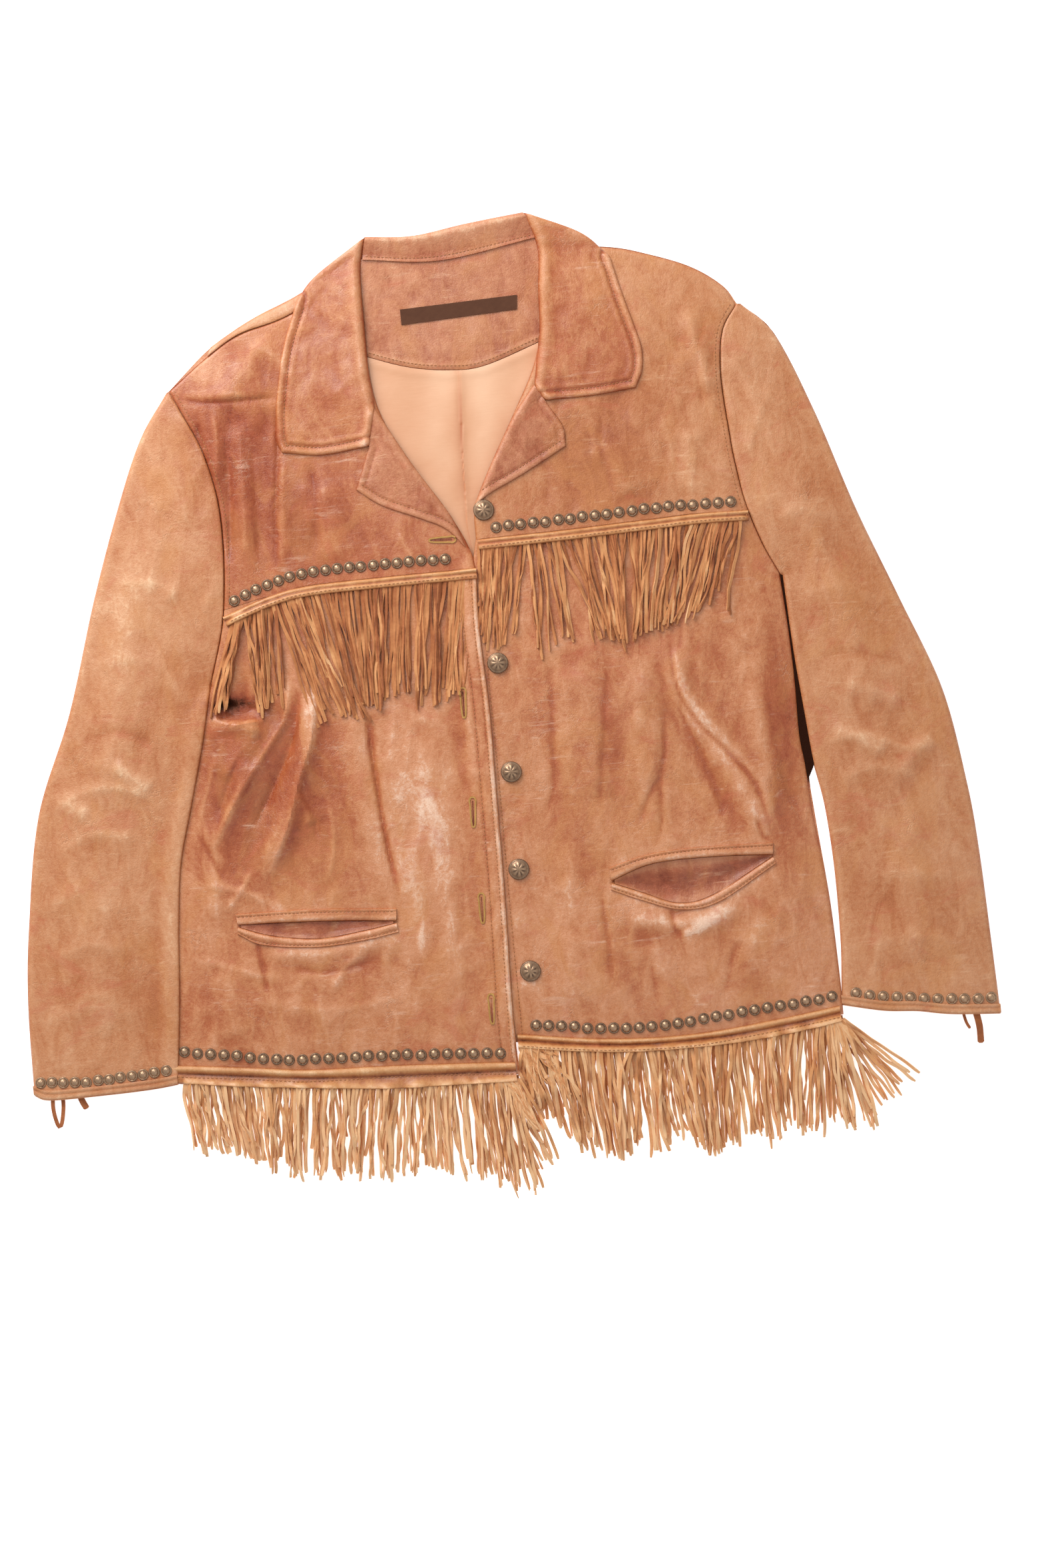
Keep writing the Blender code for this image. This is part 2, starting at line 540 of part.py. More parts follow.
panel("yoke_right", TAN, yoke_grid_r, body_height(yoke_grid_r, True))
panel("back_yoke_edge", GOLDEN, between(
    shifted(SHOULDER_R[1:], 0, 0.6), SHOULDER_FOLD_R[1:-1] + [(-76, 381)], 8), LOW + 0.6)

# The thong tails lie on the under sleeves, so the top sleeves come down over them.
for name, line in CUFF_TAILS.items():
    panel(name, CORD, strip(line, 2.2, 3 * (len(line) - 1)), FLOOR_GAP + 1.1, 1.1)

# Sleeves: the right one lies over the side of the body, the left one beside it.
rows = 22
east = np.vstack([smooth(SLEEVE_R_INNER, 10)[:-1], arm_r_out - [0.05, 0]])
west = smooth(SLEEVE_R_OUTER, rows)
grid = patch(smooth(CUFF_R, 6), smooth([(-243, 286), tuple(east[-1])], 6), west, east)
panel("sleeve_right", GOLDEN, grid, sleeve_height(grid, True))
west = np.vstack([smooth(SLEEVE_L_INNER, 10)[:-1], arm_l_out + [0.05, 0]])
grid = patch(smooth(CUFF_L, 6), smooth([tuple(west[-1]), (246, 315)], 6), west,
             smooth(SLEEVE_L_OUTER, rows))
panel("sleeve_left", GOLDEN, grid, sleeve_height(grid, False))
for side, cuff in (("right", CUFF_R), ("left", CUFF_L)):
    inner = shifted(cuff, 0, 1.0)
    panel("cuff_band_" + side, GOLDEN, between(inner, shifted(cuff, 0, 8.5), 10), 0, 1.0)

# Pockets: the facing in the mouth, then the welts around it.
for side, edges in POCKETS.items():
    mouth, lip = edges["mouth"], edges["lip"]
    facing = between(shifted(lip, 0, 0.5), shifted(mouth, 0, -0.5), 12)
    facing = np.stack([facing[0], facing.mean(0), facing[1]])
    panel("pocket_facing_" + side, RUSSET, facing[:, 1:-1], 0, 1.0)
    panel("pocket_welt_upper_" + side, TAN, between(mouth, edges["upper"], 12), 0)
    panel("pocket_welt_lower_" + side, TAN, between(edges["lower"], lip, 12), 0)


def fringe(name, root, locks, segments, bow, on_floor, seed):
    """A strip of leather cut into strands below its upper part, which stays whole."""
    rng = random.Random(seed)
    line = smooth(root, 60)
    strands = []
    for first, last, tip_a, tip_b, y_a, y_b, count in locks:
        for k in range(count):
            t = k / max(count - 1, 1)
            x = first + (last - first) * t
            y = float(np.interp(x, line[:, 0], line[:, 1]))
            tip = (tip_a + (tip_b - tip_a) * t, y_a + (y_b - y_a) * t + rng.uniform(-2.5, 2.5))
            pitch = [(last - first) / max(count - 1, 1), abs(tip_b - tip_a) / max(count - 1, 1)]
            strands.append(((x, y), tip, pitch, rng.uniform(-1, 1)))
    south = []
    for (x, y), _, pitch, _ in strands:
        half = min(1.15, 0.37 * pitch[0])
        for px in (x - half, x + half):
            south.append((px, float(np.interp(px, line[:, 0], line[:, 1]))))
    south = np.array(south)
    ends = (south[0, 0], south[-1, 0])
    xs = np.linspace(ends[0], ends[1], max(8, len(strands) // 3))
    north = np.column_stack([xs, np.interp(xs, line[:, 0], line[:, 1]) + HEADER])
    xy = np.vstack([south, north])
    tris = []
    i, j = 0, 0
    while i < len(south) - 1 or j < len(north) - 1:
        step_south = j == len(north) - 1 or (i < len(south) - 1 and south[i + 1, 0] < north[j + 1, 0])
        if step_south:
            tris.append((i, i + 1, len(south) + j))
            i += 1
        else:
            tris.append((i, len(south) + j + 1, len(south) + j))
            j += 1
    start = 1.75 if on_floor else 0.0
    z = PILE.lay(xy, np.full(len(xy), start), tris)
    bm = bmesh.new()
    low = [bm.verts.new((x * MM, y * MM, h * MM)) for (x, y), h in zip(xy, z)]
    high = [bm.verts.new((x * MM, y * MM, (h + STRIP) * MM)) for (x, y), h in zip(xy, z)]
    for t in tris:
        bm.faces.new([low[q] for q in reversed(t)])
        bm.faces.new([high[q] for q in t])
    rim = list(range(len(south))) + [len(south) + q for q in reversed(range(len(north)))]
    for q, (a, b) in enumerate(zip(rim, rim[1:] + rim[:1])):
        if q < len(south) - 1 and q % 2 == 0:
            continue
        bm.faces.new([low[a], low[b], high[b], high[a]])
    for k, (root_xy, tip, pitch, lean) in enumerate(strands):
        ring = [low[2 * k], low[2 * k + 1], high[2 * k + 1], high[2 * k]]
        a = np.array(root_xy)
        b = np.array(tip)
        across = np.array([-(b - a)[1], (b - a)[0]]) / np.linalg.norm(b - a)
        if across[0] < 0:
            across = -across
        ts = np.linspace(0, 1, segments + 1)
        mids = [a + (b - a) * t + np.array([bow * math.sin(math.pi * t), 0]) for t in ts]
        halves = [min(1.15, 0.37 * (pitch[0] * (1 - t) + pitch[1] * t)) for t in ts]
        halves[-1] *= 0.7
        base = [float(min(z[2 * k], z[2 * k + 1]))]
        for q in range(1, segments + 1):
            base.append(FLOOR_GAP + (0.35 + 0.35 * lean) * (1 - ts[q]) if on_floor else 0.0)
        who, share, need = [], [], []
        for q in range(segments):
            for t in np.linspace(0.1 if q == 0 else 0.0, 1, 14):
                p = mids[q] * (1 - t) + mids[q + 1] * t
                w = halves[q] * (1 - t) + halves[q + 1] * t
                ground = max(PILE.top(*(p + across * side * w)) for side in (-1, 0, 1))
                if ground > 0.01:
                    who.append((q, q + 1))
                    share.append((1 - t, t))
                    need.append(ground + 0.42)
        if who:
            base = settle(base, np.array(who), np.array(share), np.array(need), fixed=[0])
        for q in range(1, segments + 1):
            tall = STRIP * (1.0 if q < segments else 0.7)
            left = mids[q] - across * halves[q]
            right = mids[q] + across * halves[q]
            lift = base[q]
            if not on_floor and q < segments:
                lift += 0.5 + 0.5 * lean
            nxt = [bm.verts.new((*(p * MM), h * MM)) for p, h in (
                (left, lift), (right, lift), (right, lift + tall), (left, lift + tall))]
            for s in range(4):
                bm.faces.new([ring[s], ring[(s + 1) % 4], nxt[(s + 1) % 4], nxt[s]])
            ring = nxt
        bm.faces.new(ring)
    return put(name, bm, CORD)


def seam_band(name, low, high, n, extra=0.0):
    return panel(name, PIPING, between(low, high, n), 0, STRIP + extra)


def chest_root(line):
    return strip(line, BAND_CHEST - 1.5, 24)[0]


fringe("fringe_chest_left", chest_root(shifted(YOKE_LINE_L, 0, -0.6)), CHEST_LOCKS_L, 3, -1.0, False, 3)
fringe("fringe_chest_right", chest_root(shifted(YOKE_LINE_R, 0, -0.6)), CHEST_LOCKS_R, 3, 1.5, False, 4)
fringe("fringe_hem_left", ROOT_L, HEM_LOCKS_L, 2, 1.0, True, 5)
fringe("fringe_hem_right", ROOT_R, HEM_LOCKS_R, 2, 2.0, True, 6)
for side, line in (("left", YOKE_LINE_L), ("right", YOKE_LINE_R)):
    pts = [tuple(p) for p in smooth(line, 8)]
    if side == "left":
        pts = [(7.5, pts[0][1])] + pts[1:]
    seam_band("yoke_band_" + side, [tuple(p) for p in strip(pts, BAND_CHEST, 8)[0]], pts, 18)
seam_band("hem_band_left", [(x, y + 1.0) for x, y in ROOT_L[:-1]] + [(272, -294)],
          PIPING_L[:-1] + [(272, -281)], 20)
seam_band("hem_band_right", [(x, y + 1.0) for x, y in ROOT_R[:-1]] + [(-4, -318)],
          PIPING_R[:-1] + [(-4, -302)], 20)


def stud_row(name, line, count):
    """Domed studs on a thin strip; each is a six-sided button on a low rim."""
    spots = smooth(line, count - 1)
    along = np.gradient(spots, axis=0)
    bm = bmesh.new()
    bottom = []
    for (x, y) in spots:
        around = [(x + STUD_R * math.cos(a), y + STUD_R * math.sin(a)) for a in np.linspace(0, 5.76, 12)]
        inside = [(x + 2.4 * math.cos(a), y + 2.4 * math.sin(a)) for a in np.linspace(0, 5.2, 6)]
        bottom.append(max(PILE.top(*p) for p in around + inside + [(x, y)]) + 0.42)
    last = None
    for k, ((x, y), (dx, dy), z) in enumerate(zip(spots, along, bottom)):
        turn = math.atan2(dy, dx)
        rings = []
        for radius, up in ((STUD_R, 0.0), (STUD_R, 0.5), (STUD_R * 0.66, 0.74 * STUD_H)):
            ring = []
            for s in range(6):
                a = turn + math.radians(60 * s - 30)
                ring.append(bm.verts.new((
                    (x + radius * math.cos(a)) * MM, (y + radius * math.sin(a)) * MM, (z + up) * MM)))
            rings.append(ring)
        tip = bm.verts.new((x * MM, y * MM, (z + STUD_H) * MM))
        bm.faces.new(rings[0][::-1])
        for s in range(6):
            n = (s + 1) % 6
            bm.faces.new([rings[1][s], rings[1][n], rings[2][n], rings[2][s]])
            bm.faces.new([rings[2][s], rings[2][n], tip])
            faces_next = s == 0 and k < count - 1
            faces_last = s == 3 and k > 0
            if not faces_next and not faces_last:
                bm.faces.new([rings[0][s], rings[0][n], rings[1][n], rings[1][s]])
        if last is not None:
            a = [last[0][0], last[0][1], last[1][1], last[1][0]]
            b = [rings[0][4], rings[0][3], rings[1][3], rings[1][4]]
            for s in range(4):
                bm.faces.new([a[s], a[(s + 1) % 4], b[(s + 1) % 4], b[s]])
        last = rings
    return put(name, bm, METAL, 60)


# Lapels and collar leaves lie on the yokes; studs and buttons come last.
lapel = patch(smooth(LAPEL_R["lower"], 8), smooth(LAPEL_R["gorge"], 8),
              smooth(LAPEL_R["outer"], 5), smooth(LAPEL_R["roll"], 5))
lift = 1.6 * rise(lapel, [LAPEL_R["lower"]], 20)
panel("lapel_right", RUSSET, lapel, body_height(lapel, True) + 1.5 + lift)
lapel = patch(smooth(LAPEL_L["lower"][::-1], 8), smooth(LAPEL_L["gorge"][::-1], 8),
              smooth(LAPEL_L["roll"], 5), smooth(LAPEL_L["outer"], 5))
lift = 1.6 * rise(lapel, [LAPEL_L["lower"]], 20)
panel("lapel_left", RUSSET, lapel, body_height(lapel, False) + 1.5 + lift)
for side, edges, right in (("right", LEAF_R, True), ("left", LEAF_L, False)):
    bottom, top = smooth(edges["bottom"], 7), smooth(edges["top"], 7)
    outer, inner = smooth(edges["outer"], 9), smooth(edges["inner"], 9)
    if right:
        leaf = patch(bottom, top, outer, inner)
    else:
        leaf = patch(bottom[::-1], top[::-1], inner, outer)
    lift = 2.2 * rise(leaf, [edges["outer"], edges["bottom"]], 24)
    panel("collar_leaf_" + side, TAN, leaf, body_height(leaf, right) + 1.4 + lift)
panel("collar_stand", RUSSET, patch(
    smooth(shifted(NECK_SEAM, 0, 0.5), 8),
    smooth([(-63, 400.4), (-23, 397.6), (22, 403.6), (70, 408.4)], 8),
    smooth([(-67.5, 381.4), (-65.5, 392), (-63, 400.4)], 3),
    smooth([(79.4, 386.5), (76, 400), (70, 408.4)], 3)), 3.4)
for name, (line, count) in STUD_ROWS.items():
    stud_row(name, line, count)


def button(name, x, y):
    """A domed metal button, turned from a profile."""
    around = [(x + r * math.cos(a), y + r * math.sin(a))
              for r in (3, 6, 8.9) for a in np.linspace(0, 6.1, 24)]
    z = max(PILE.top(*p) for p in around) + 0.42
    profile = [(0, BUTTON_H), (0.5 * BUTTON_R, 0.9 * BUTTON_H), (0.84 * BUTTON_R, 0.62 * BUTTON_H),
               (0.98 * BUTTON_R, 0.4 * BUTTON_H), (BUTTON_R, 0.22 * BUTTON_H), (0.8 * BUTTON_R, 0), (0, 0)]
    mesh = bpy.data.meshes.new(name)
    mesh.from_pydata([(r * MM, 0, h * MM) for r, h in profile], [(i, i + 1) for i in range(6)], [])
    obj = bpy.data.objects.new(name, mesh)
    obj.location = (x * MM, y * MM, z * MM)
    JACKET.objects.link(obj)
    turn = obj.modifiers.new("Turn", "SCREW")
    turn.steps = 14
    turn.render_steps = 14
    turn.use_merge_vertices = True
    turn.merge_threshold = 0.00001
    turn.use_smooth_shade = True
    mesh.materials.append(METAL)
    return obj


for count, (x, y) in enumerate(BUTTONS, 1):
    button("button_%d" % count, x, y)
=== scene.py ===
# %% [markdown]
# # A studded and fringed leather jacket, laid flat
# This lesson dresses a imported CAD model in Blender. The jacket is cut from flat hides, so each
# cut piece here is a grid of points between its sewn edges, raised into folds with numpy.
# A cloth solver could drape the hides too, but old leather keeps the creases that wear gave
# it, and placing them one by one puts each one where the real jacket has it.

# %% The imported model
import math

import bpy
import numpy as np
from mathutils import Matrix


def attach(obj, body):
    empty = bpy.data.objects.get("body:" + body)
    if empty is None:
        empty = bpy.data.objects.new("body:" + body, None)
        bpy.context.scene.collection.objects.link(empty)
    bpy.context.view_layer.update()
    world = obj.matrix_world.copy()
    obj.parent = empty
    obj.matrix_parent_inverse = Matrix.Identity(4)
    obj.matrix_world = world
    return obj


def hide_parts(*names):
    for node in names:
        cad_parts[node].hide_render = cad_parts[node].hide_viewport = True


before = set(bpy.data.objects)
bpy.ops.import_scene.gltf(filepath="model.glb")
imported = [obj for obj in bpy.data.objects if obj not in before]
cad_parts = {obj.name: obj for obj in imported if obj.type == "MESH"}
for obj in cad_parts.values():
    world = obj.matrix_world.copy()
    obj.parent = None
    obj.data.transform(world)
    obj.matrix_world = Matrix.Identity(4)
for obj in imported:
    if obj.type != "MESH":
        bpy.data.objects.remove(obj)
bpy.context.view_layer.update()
MM = 0.001
CELL = 1.9      # size of a hide's grid cells, in millimetres
print("solids in the frame:", len(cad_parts))

# %% [markdown]
# ## Lines and cuts
# A pattern maker draws each edge as a curve through a few marks. A Catmull-Rom curve passes
# through every mark, which a Bezier curve with free handles doesn't promise, so the tables
# below hold only measured points in millimetres. A hide is then the Coons patch between its
# four edges: it blends the two pairs of edges, so neighbours that share an edge meet exactly.
# Cells are smaller next to an edge, where the leather turns over.

# %% Curves and grids
def curve(points):
    """A dense smooth line through the marks; a line that is dense already stays as it is."""
    if isinstance(points, np.ndarray):
        return points
    p = np.array(points, float)
    ext = np.vstack([2 * p[0] - p[1], p, 2 * p[-1] - p[-2]])
    t = np.linspace(0, 1, 24, endpoint=False)[:, None]
    runs = [b + 0.5 * t * (c - a + t * (2 * a - 5 * b + 4 * c - d + t * (3 * (b - c) + d - a)))
            for a, b, c, d in zip(ext, ext[1:], ext[2:], ext[3:])]
    return np.vstack(runs + [p[-1:]])


def run_length(line):
    return np.r_[0, np.cumsum(np.linalg.norm(np.diff(line, axis=0), axis=1))]


def along(line, places):
    """Points at the given shares (0 to 1) of a line's length."""
    s = run_length(line)
    want = np.asarray(places) * s[-1]
    return np.column_stack([np.interp(want, s, line[:, 0]), np.interp(want, s, line[:, 1])])


def resampled(line, n, first=0.0, last=1.0):
    return along(curve(line), np.linspace(first, last, n))


def shifted(points, dx, dy):
    return [(x + dx, y + dy) for x, y in points]


def offset(line, amount):
    """The line moved sideways, to its left where the amount is positive."""
    step = np.gradient(line, axis=0)
    step /= np.linalg.norm(step, axis=1)[:, None]
    return line + np.column_stack([-step[:, 1], step[:, 0]]) * amount


def spread(length, cell):
    """Shares of a length for a grid's rows, closer together at both ends."""
    near = [0, 0.45, 1.1, 2.0]
    inner = np.linspace(near[-1], length - near[-1], max(3, int(round(length / cell))))
    return np.r_[near[:-1], inner, [length - n for n in near[-2::-1]]] / length


def cut(south, north, west, east, cell=CELL):
    """Grid of points between four edges that meet at their corners."""
    south, north, west, east = (curve(e) for e in (south, north, west, east))
    u = spread(max(run_length(south)[-1], run_length(north)[-1]), cell)
    v = spread(max(run_length(west)[-1], run_length(east)[-1]), cell)
    s, n = along(south, u)[None], along(north, u)[None]
    w, e = along(west, v)[:, None], along(east, v)[:, None]
    u, v = u[None, :, None], v[:, None, None]
    corners = (1 - v) * ((1 - u) * s[:, :1] + u * s[:, -1:])
    corners = corners + v * ((1 - u) * n[:, :1] + u * n[:, -1:])
    return (1 - v) * s + v * n + (1 - u) * w + u * e - corners


def sided(right, bottom, top, outer, inner, cell=CELL):
    """The grid of a piece of one half; its lines run from the outer edge to the inner one."""
    if right:
        return cut(bottom, top, outer, inner, cell)
    return cut(bottom[::-1], top[::-1], inner, outer, cell)


def strip_between(low, high, cell):
    """The grid of a narrow strip between two lines, with straight ends."""
    ends = [[tuple(low[i]), tuple(high[i])] for i in (0, -1)]
    return cut(low, high, *ends, cell)


def distance(xy, line):
    """Distance from each point to a broken line, and how far along it (0 to 1) that is."""
    best = np.full(xy.shape[:-1], 1e9)
    place = np.zeros(xy.shape[:-1])
    line = np.array(line, float)
    s = run_length(line)
    for a, b, start, end in zip(line, line[1:], s, s[1:]):
        if end - start < 1e-6:
            continue
        t = np.clip(((xy - a) @ (b - a)) / (end - start) ** 2, 0, 1)
        d = np.linalg.norm(xy - a - t[..., None] * (b - a), axis=-1)
        closer = d < best
        best = np.where(closer, d, best)
        place = np.where(closer, (start + t * (end - start)) / s[-1], place)
    return best, place


def few(line, n=26):
    """The same line with few points, for measuring distances."""
    return resampled(line, n)


def away(xy, line, n=26):
    return distance(xy, few(line, n))[0]


def bell(d, centre, width):
    """1 where d is at the centre, falling to a third at the width."""
    return np.exp(-((d - centre) / width) ** 2)


# %% [markdown]
# ## The edges of the hides
# Every table is a sewn or folded edge: x across the jacket (the wearer's left is +x) and y up
# the centre back. The sleeves, fronts and yokes share the armhole curves.

# %% Edges of the sleeves and the body
SLEEVE_R_OUTER = [(-410, -292), (-408, -215), (-401, -150), (-384, -58), (-350, 25),
                  (-320, 119), (-291, 198), (-268, 250), (-243, 286)]
SLEEVE_R_INNER = [(-288, -294), (-280, -223), (-275, -165), (-268, -110), (-254, -60),
                  (-240, -10), (-229, 37)]
ARMHOLE_R = [(-229, 37), (-217, 75), (-211, 104), (-207, 150), (-208, 194), (-217, 235),
             (-229, 263), (-240, 287)]
CUFF_R = [(-410, -292), (-396, -297), (-350, -297), (-310, -296), (-288, -294)]
SIDE_R = [(-292, -296), (-288, -222), (-281, -166), (-273, -111), (-262, -72), (-251, -29),
          (-241, 10), (-229, 37)]
SLEEVE_L_OUTER = [(407, -301), (405, -240), (402, -160), (397, -102), (384, -23), (355, 57),
                  (326, 135), (299, 220), (272, 287), (246, 315)]
SLEEVE_L_INNER = [(274.2, -281), (276.4, -257), (278.6, -223), (279, -165), (276, -113), (270, -75),
                  (266, -30), (262, 20), (259, 84)]
ARMHOLE_L = [(257.5, 84), (245, 111), (234, 145), (228, 180), (225, 214), (223, 258),
             (228, 293), (242, 315)]
# The left cuff is pushed up against the hem.
CUFF_L = [(274.2, -281), (309, -289), (337, -292), (364, -297), (407, -301)]
SIDE_L = [(275, -289), (275, -256), (273, -193), (268, -130), (264, -78), (261, -51),
          (261, -10), (260, 38), (257.5, 84)]
FRONT_EDGE_R = [(-2, -310), (-2, -263), (1, -157), (2, -82), (3, -5), (1, 63), (3, 114)]
FRONT_EDGE_L = [(-9, -283), (-9, -180), (-8, -60), (-8, 40), (-3, 100), (5, 138)]
YOKE_LINE_R = [(-213, 94), (-174, 107), (-138, 113), (-70, 114), (3, 114)]
YOKE_LINE_L = [(5, 138), (79, 139), (153, 141), (191, 142), (235, 141)]
NECK_R = [(3, 114), (-1, 131), (-14, 159), (-43, 205), (-66, 255), (-72, 306), (-73, 345),
          (-75, 372)]
NECK_L = [(5, 138), (7, 165), (22, 197), (46, 239), (66, 276), (76, 308), (78, 340), (80, 378)]
SHOULDER_R = [(-240, 287), (-205, 313), (-177, 329), (-134, 341), (-75, 372)]
SHOULDER_FOLD_R = [(-240, 288), (-202, 321), (-166, 341), (-129, 356), (-76, 383)]
SHOULDER_L = [(242, 315), (232, 331), (208, 349), (174, 363), (138, 373), (80, 378)]
NECK_SEAM = [(-76, 382), (-6, 375), (80, 386)]
COLLAR_TOP = [(-64, 401), (-23, 398), (22, 404), (71, 409)]
ROOT_R = [(-291, -293), (-230, -302), (-179, -308), (-111, -315), (-60, -317), (-1, -319)]
ROOT_L = [(0, -291), (50, -299), (99, -304), (148, -305), (196, -304), (245, -299), (275, -295)]
PIPING_R = [(-292, -277), (-222, -286), (-177, -292), (-109, -295), (-45, -299), (-1, -302)]
PIPING_L = [(0, -279), (75, -290), (149, -293), (222, -287), (275, -281)]

LEATHER, STRIP, SATIN = 1.4, 1.2, 0.9       # thickness of what the pieces are cut from
SEAM, HEADER, BAND = 0.3, 6.0, 9.0          # gap at a seam, uncut top of the fringe, piped band
ARM_R, ARM_L = curve(ARMHOLE_R), curve(ARMHOLE_L)
UNDER = 0.25                                # share of the armhole that is below the yoke seam
under_arm_r, under_arm_l = (resampled(arm, 120, 0, UNDER) for arm in (ARM_R, ARM_L))
over_arm_r, over_arm_l = (resampled(arm, 120, UNDER, 1) for arm in (ARM_R, ARM_L))
hem_r, hem_l = (curve(shifted(root, 0, HEADER + SEAM)) for root in (ROOT_R, ROOT_L))
hem_l[:, 0] = np.interp(hem_l[:, 0], [0, 40, 300], [-9, 40, 300])
side_r = curve([tuple(hem_r[0])] + SIDE_R[1:])
side_l = curve([tuple(hem_l[-1])] + SIDE_L[1:])
yoke_r = curve([tuple(over_arm_r[0])] + YOKE_LINE_R[1:])
yoke_l = curve(YOKE_LINE_L[:-1] + [tuple(over_arm_l[0])])
front_edge_r = curve([tuple(hem_r[-1])] + FRONT_EDGE_R[1:])
front_edge_l = curve([tuple(hem_l[0])] + FRONT_EDGE_L[1:])
print("armholes:", [round(run_length(a)[-1]) for a in (ARM_R, ARM_L)], "mm")

# %% [markdown]
# ## Folds and relief
# A fold is a line with a half width and a height; a negative height is a trough. Its section is
# a rounded cusp, which catches the light on one side like a crease that wear has set. Between
# the folds the hide is never flat: soft value noise, made of random heights joined smoothly,
# gives the slow swells of leather that has been worn and put down again.

# %% Tables of folds
FOLD_DEPTH, LOW, CROWN, SLEEVE_CROWN, EDGE_ROLL = 1.35, 3.1, 4.3, 3.6, 26.0
FOLDS_R = [
    ([(-146, 32), (-157, -25), (-171, -63), (-194, -111), (-203, -128)], 13, 4.5),
    ([(-162, 30), (-174, -25), (-190, -66), (-212, -114)], 10, -2.0),
    ([(-190, 3), (-208, -20), (-227, -42)], 10, 3.6),
    ([(-200, -24), (-226, -76), (-238, -100)], 9, 3.0),
    ([(-254, -77), (-240, -107), (-244, -160)], 9, 2.6),
    ([(-99, 0), (-100, -48), (-96, -103), (-90, -153)], 6, -1.4),
    ([(-110, 10), (-113, -50), (-108, -110)], 12, 1.6),
    ([(-164, -60), (-154, -88)], 9, 2.0),
    ([(-236, 2), (-212, 0), (-189, -3)], 6, 3.4),
    ([(-226, 22), (-198, 20)], 12, -3.0),
    ([(-226, -162), (-162, -172), (-94, -170)], 7, -2.4),
    ([(-205, -192), (-150, -196), (-100, -190)], 8, 1.8),
    ([(-60, -20), (-48, -130), (-52, -240)], 16, 1.4),
    ([(-240, -200), (-236, -262)], 12, 1.6),
    ([(-189, 275), (-198, 205), (-202, 136)], 8, -1.8),
    ([(-159, 272), (-170, 200), (-173, 133)], 8, -1.5),
    ([(-203, 272), (-179, 296), (-151, 328)], 12, 2.2),
    ([(-120, 200), (-112, 130)], 14, 1.6),
]
FOLDS_L = [
    ([(158, 32), (168, -13), (191, -51), (224, -133)], 12, 3.2),
    ([(148, 28), (154, -20), (176, -66), (204, -128)], 10, -1.6),
    ([(82, 35), (86, -30), (87, -89)], 18, 2.4),
    ([(133, 30), (126, -40), (121, -92)], 15, 1.8),
    ([(236, 66), (232, -40), (224, -131)], 14, 2.2),
    ([(92, -158), (130, -165), (166, -166), (226, -152)], 12, -3.0),
    ([(100, -190), (150, -200), (196, -190)], 9, 2.6),
    ([(144, -187), (152, -206)], 8, -1.6),
    ([(60, -120), (52, -200), (56, -262)], 16, 1.4),
    ([(200, 317), (206, 280), (213, 240)], 8, 2.2),
    ([(120, 210), (136, 160)], 14, 1.4),
    ([(192, 215), (188, 158)], 10, 1.6),
]
FOLDS_SLEEVE_R = [
    ([(-318, -22), (-285, -45)], 8, 1.6),
    ([(-376, -40), (-340, -62)], 9, 1.8),
    ([(-392, -140), (-350, -120)], 12, 1.4),
    ([(-262, 180), (-300, 60), (-330, -60)], 22, 1.6),
    ([(-340, -120), (-350, -250)], 20, 1.4),
]
FOLDS_SLEEVE_L = [
    ([(288, -47), (331, -73)], 8, 1.8),
    ([(300, -10), (350, -30)], 10, 1.4),
    ([(372, -60), (340, -90)], 9, 1.6),
    ([(262, 210), (300, 80), (330, -40)], 22, 1.6),
    ([(340, -120), (345, -250)], 20, 1.4),
]

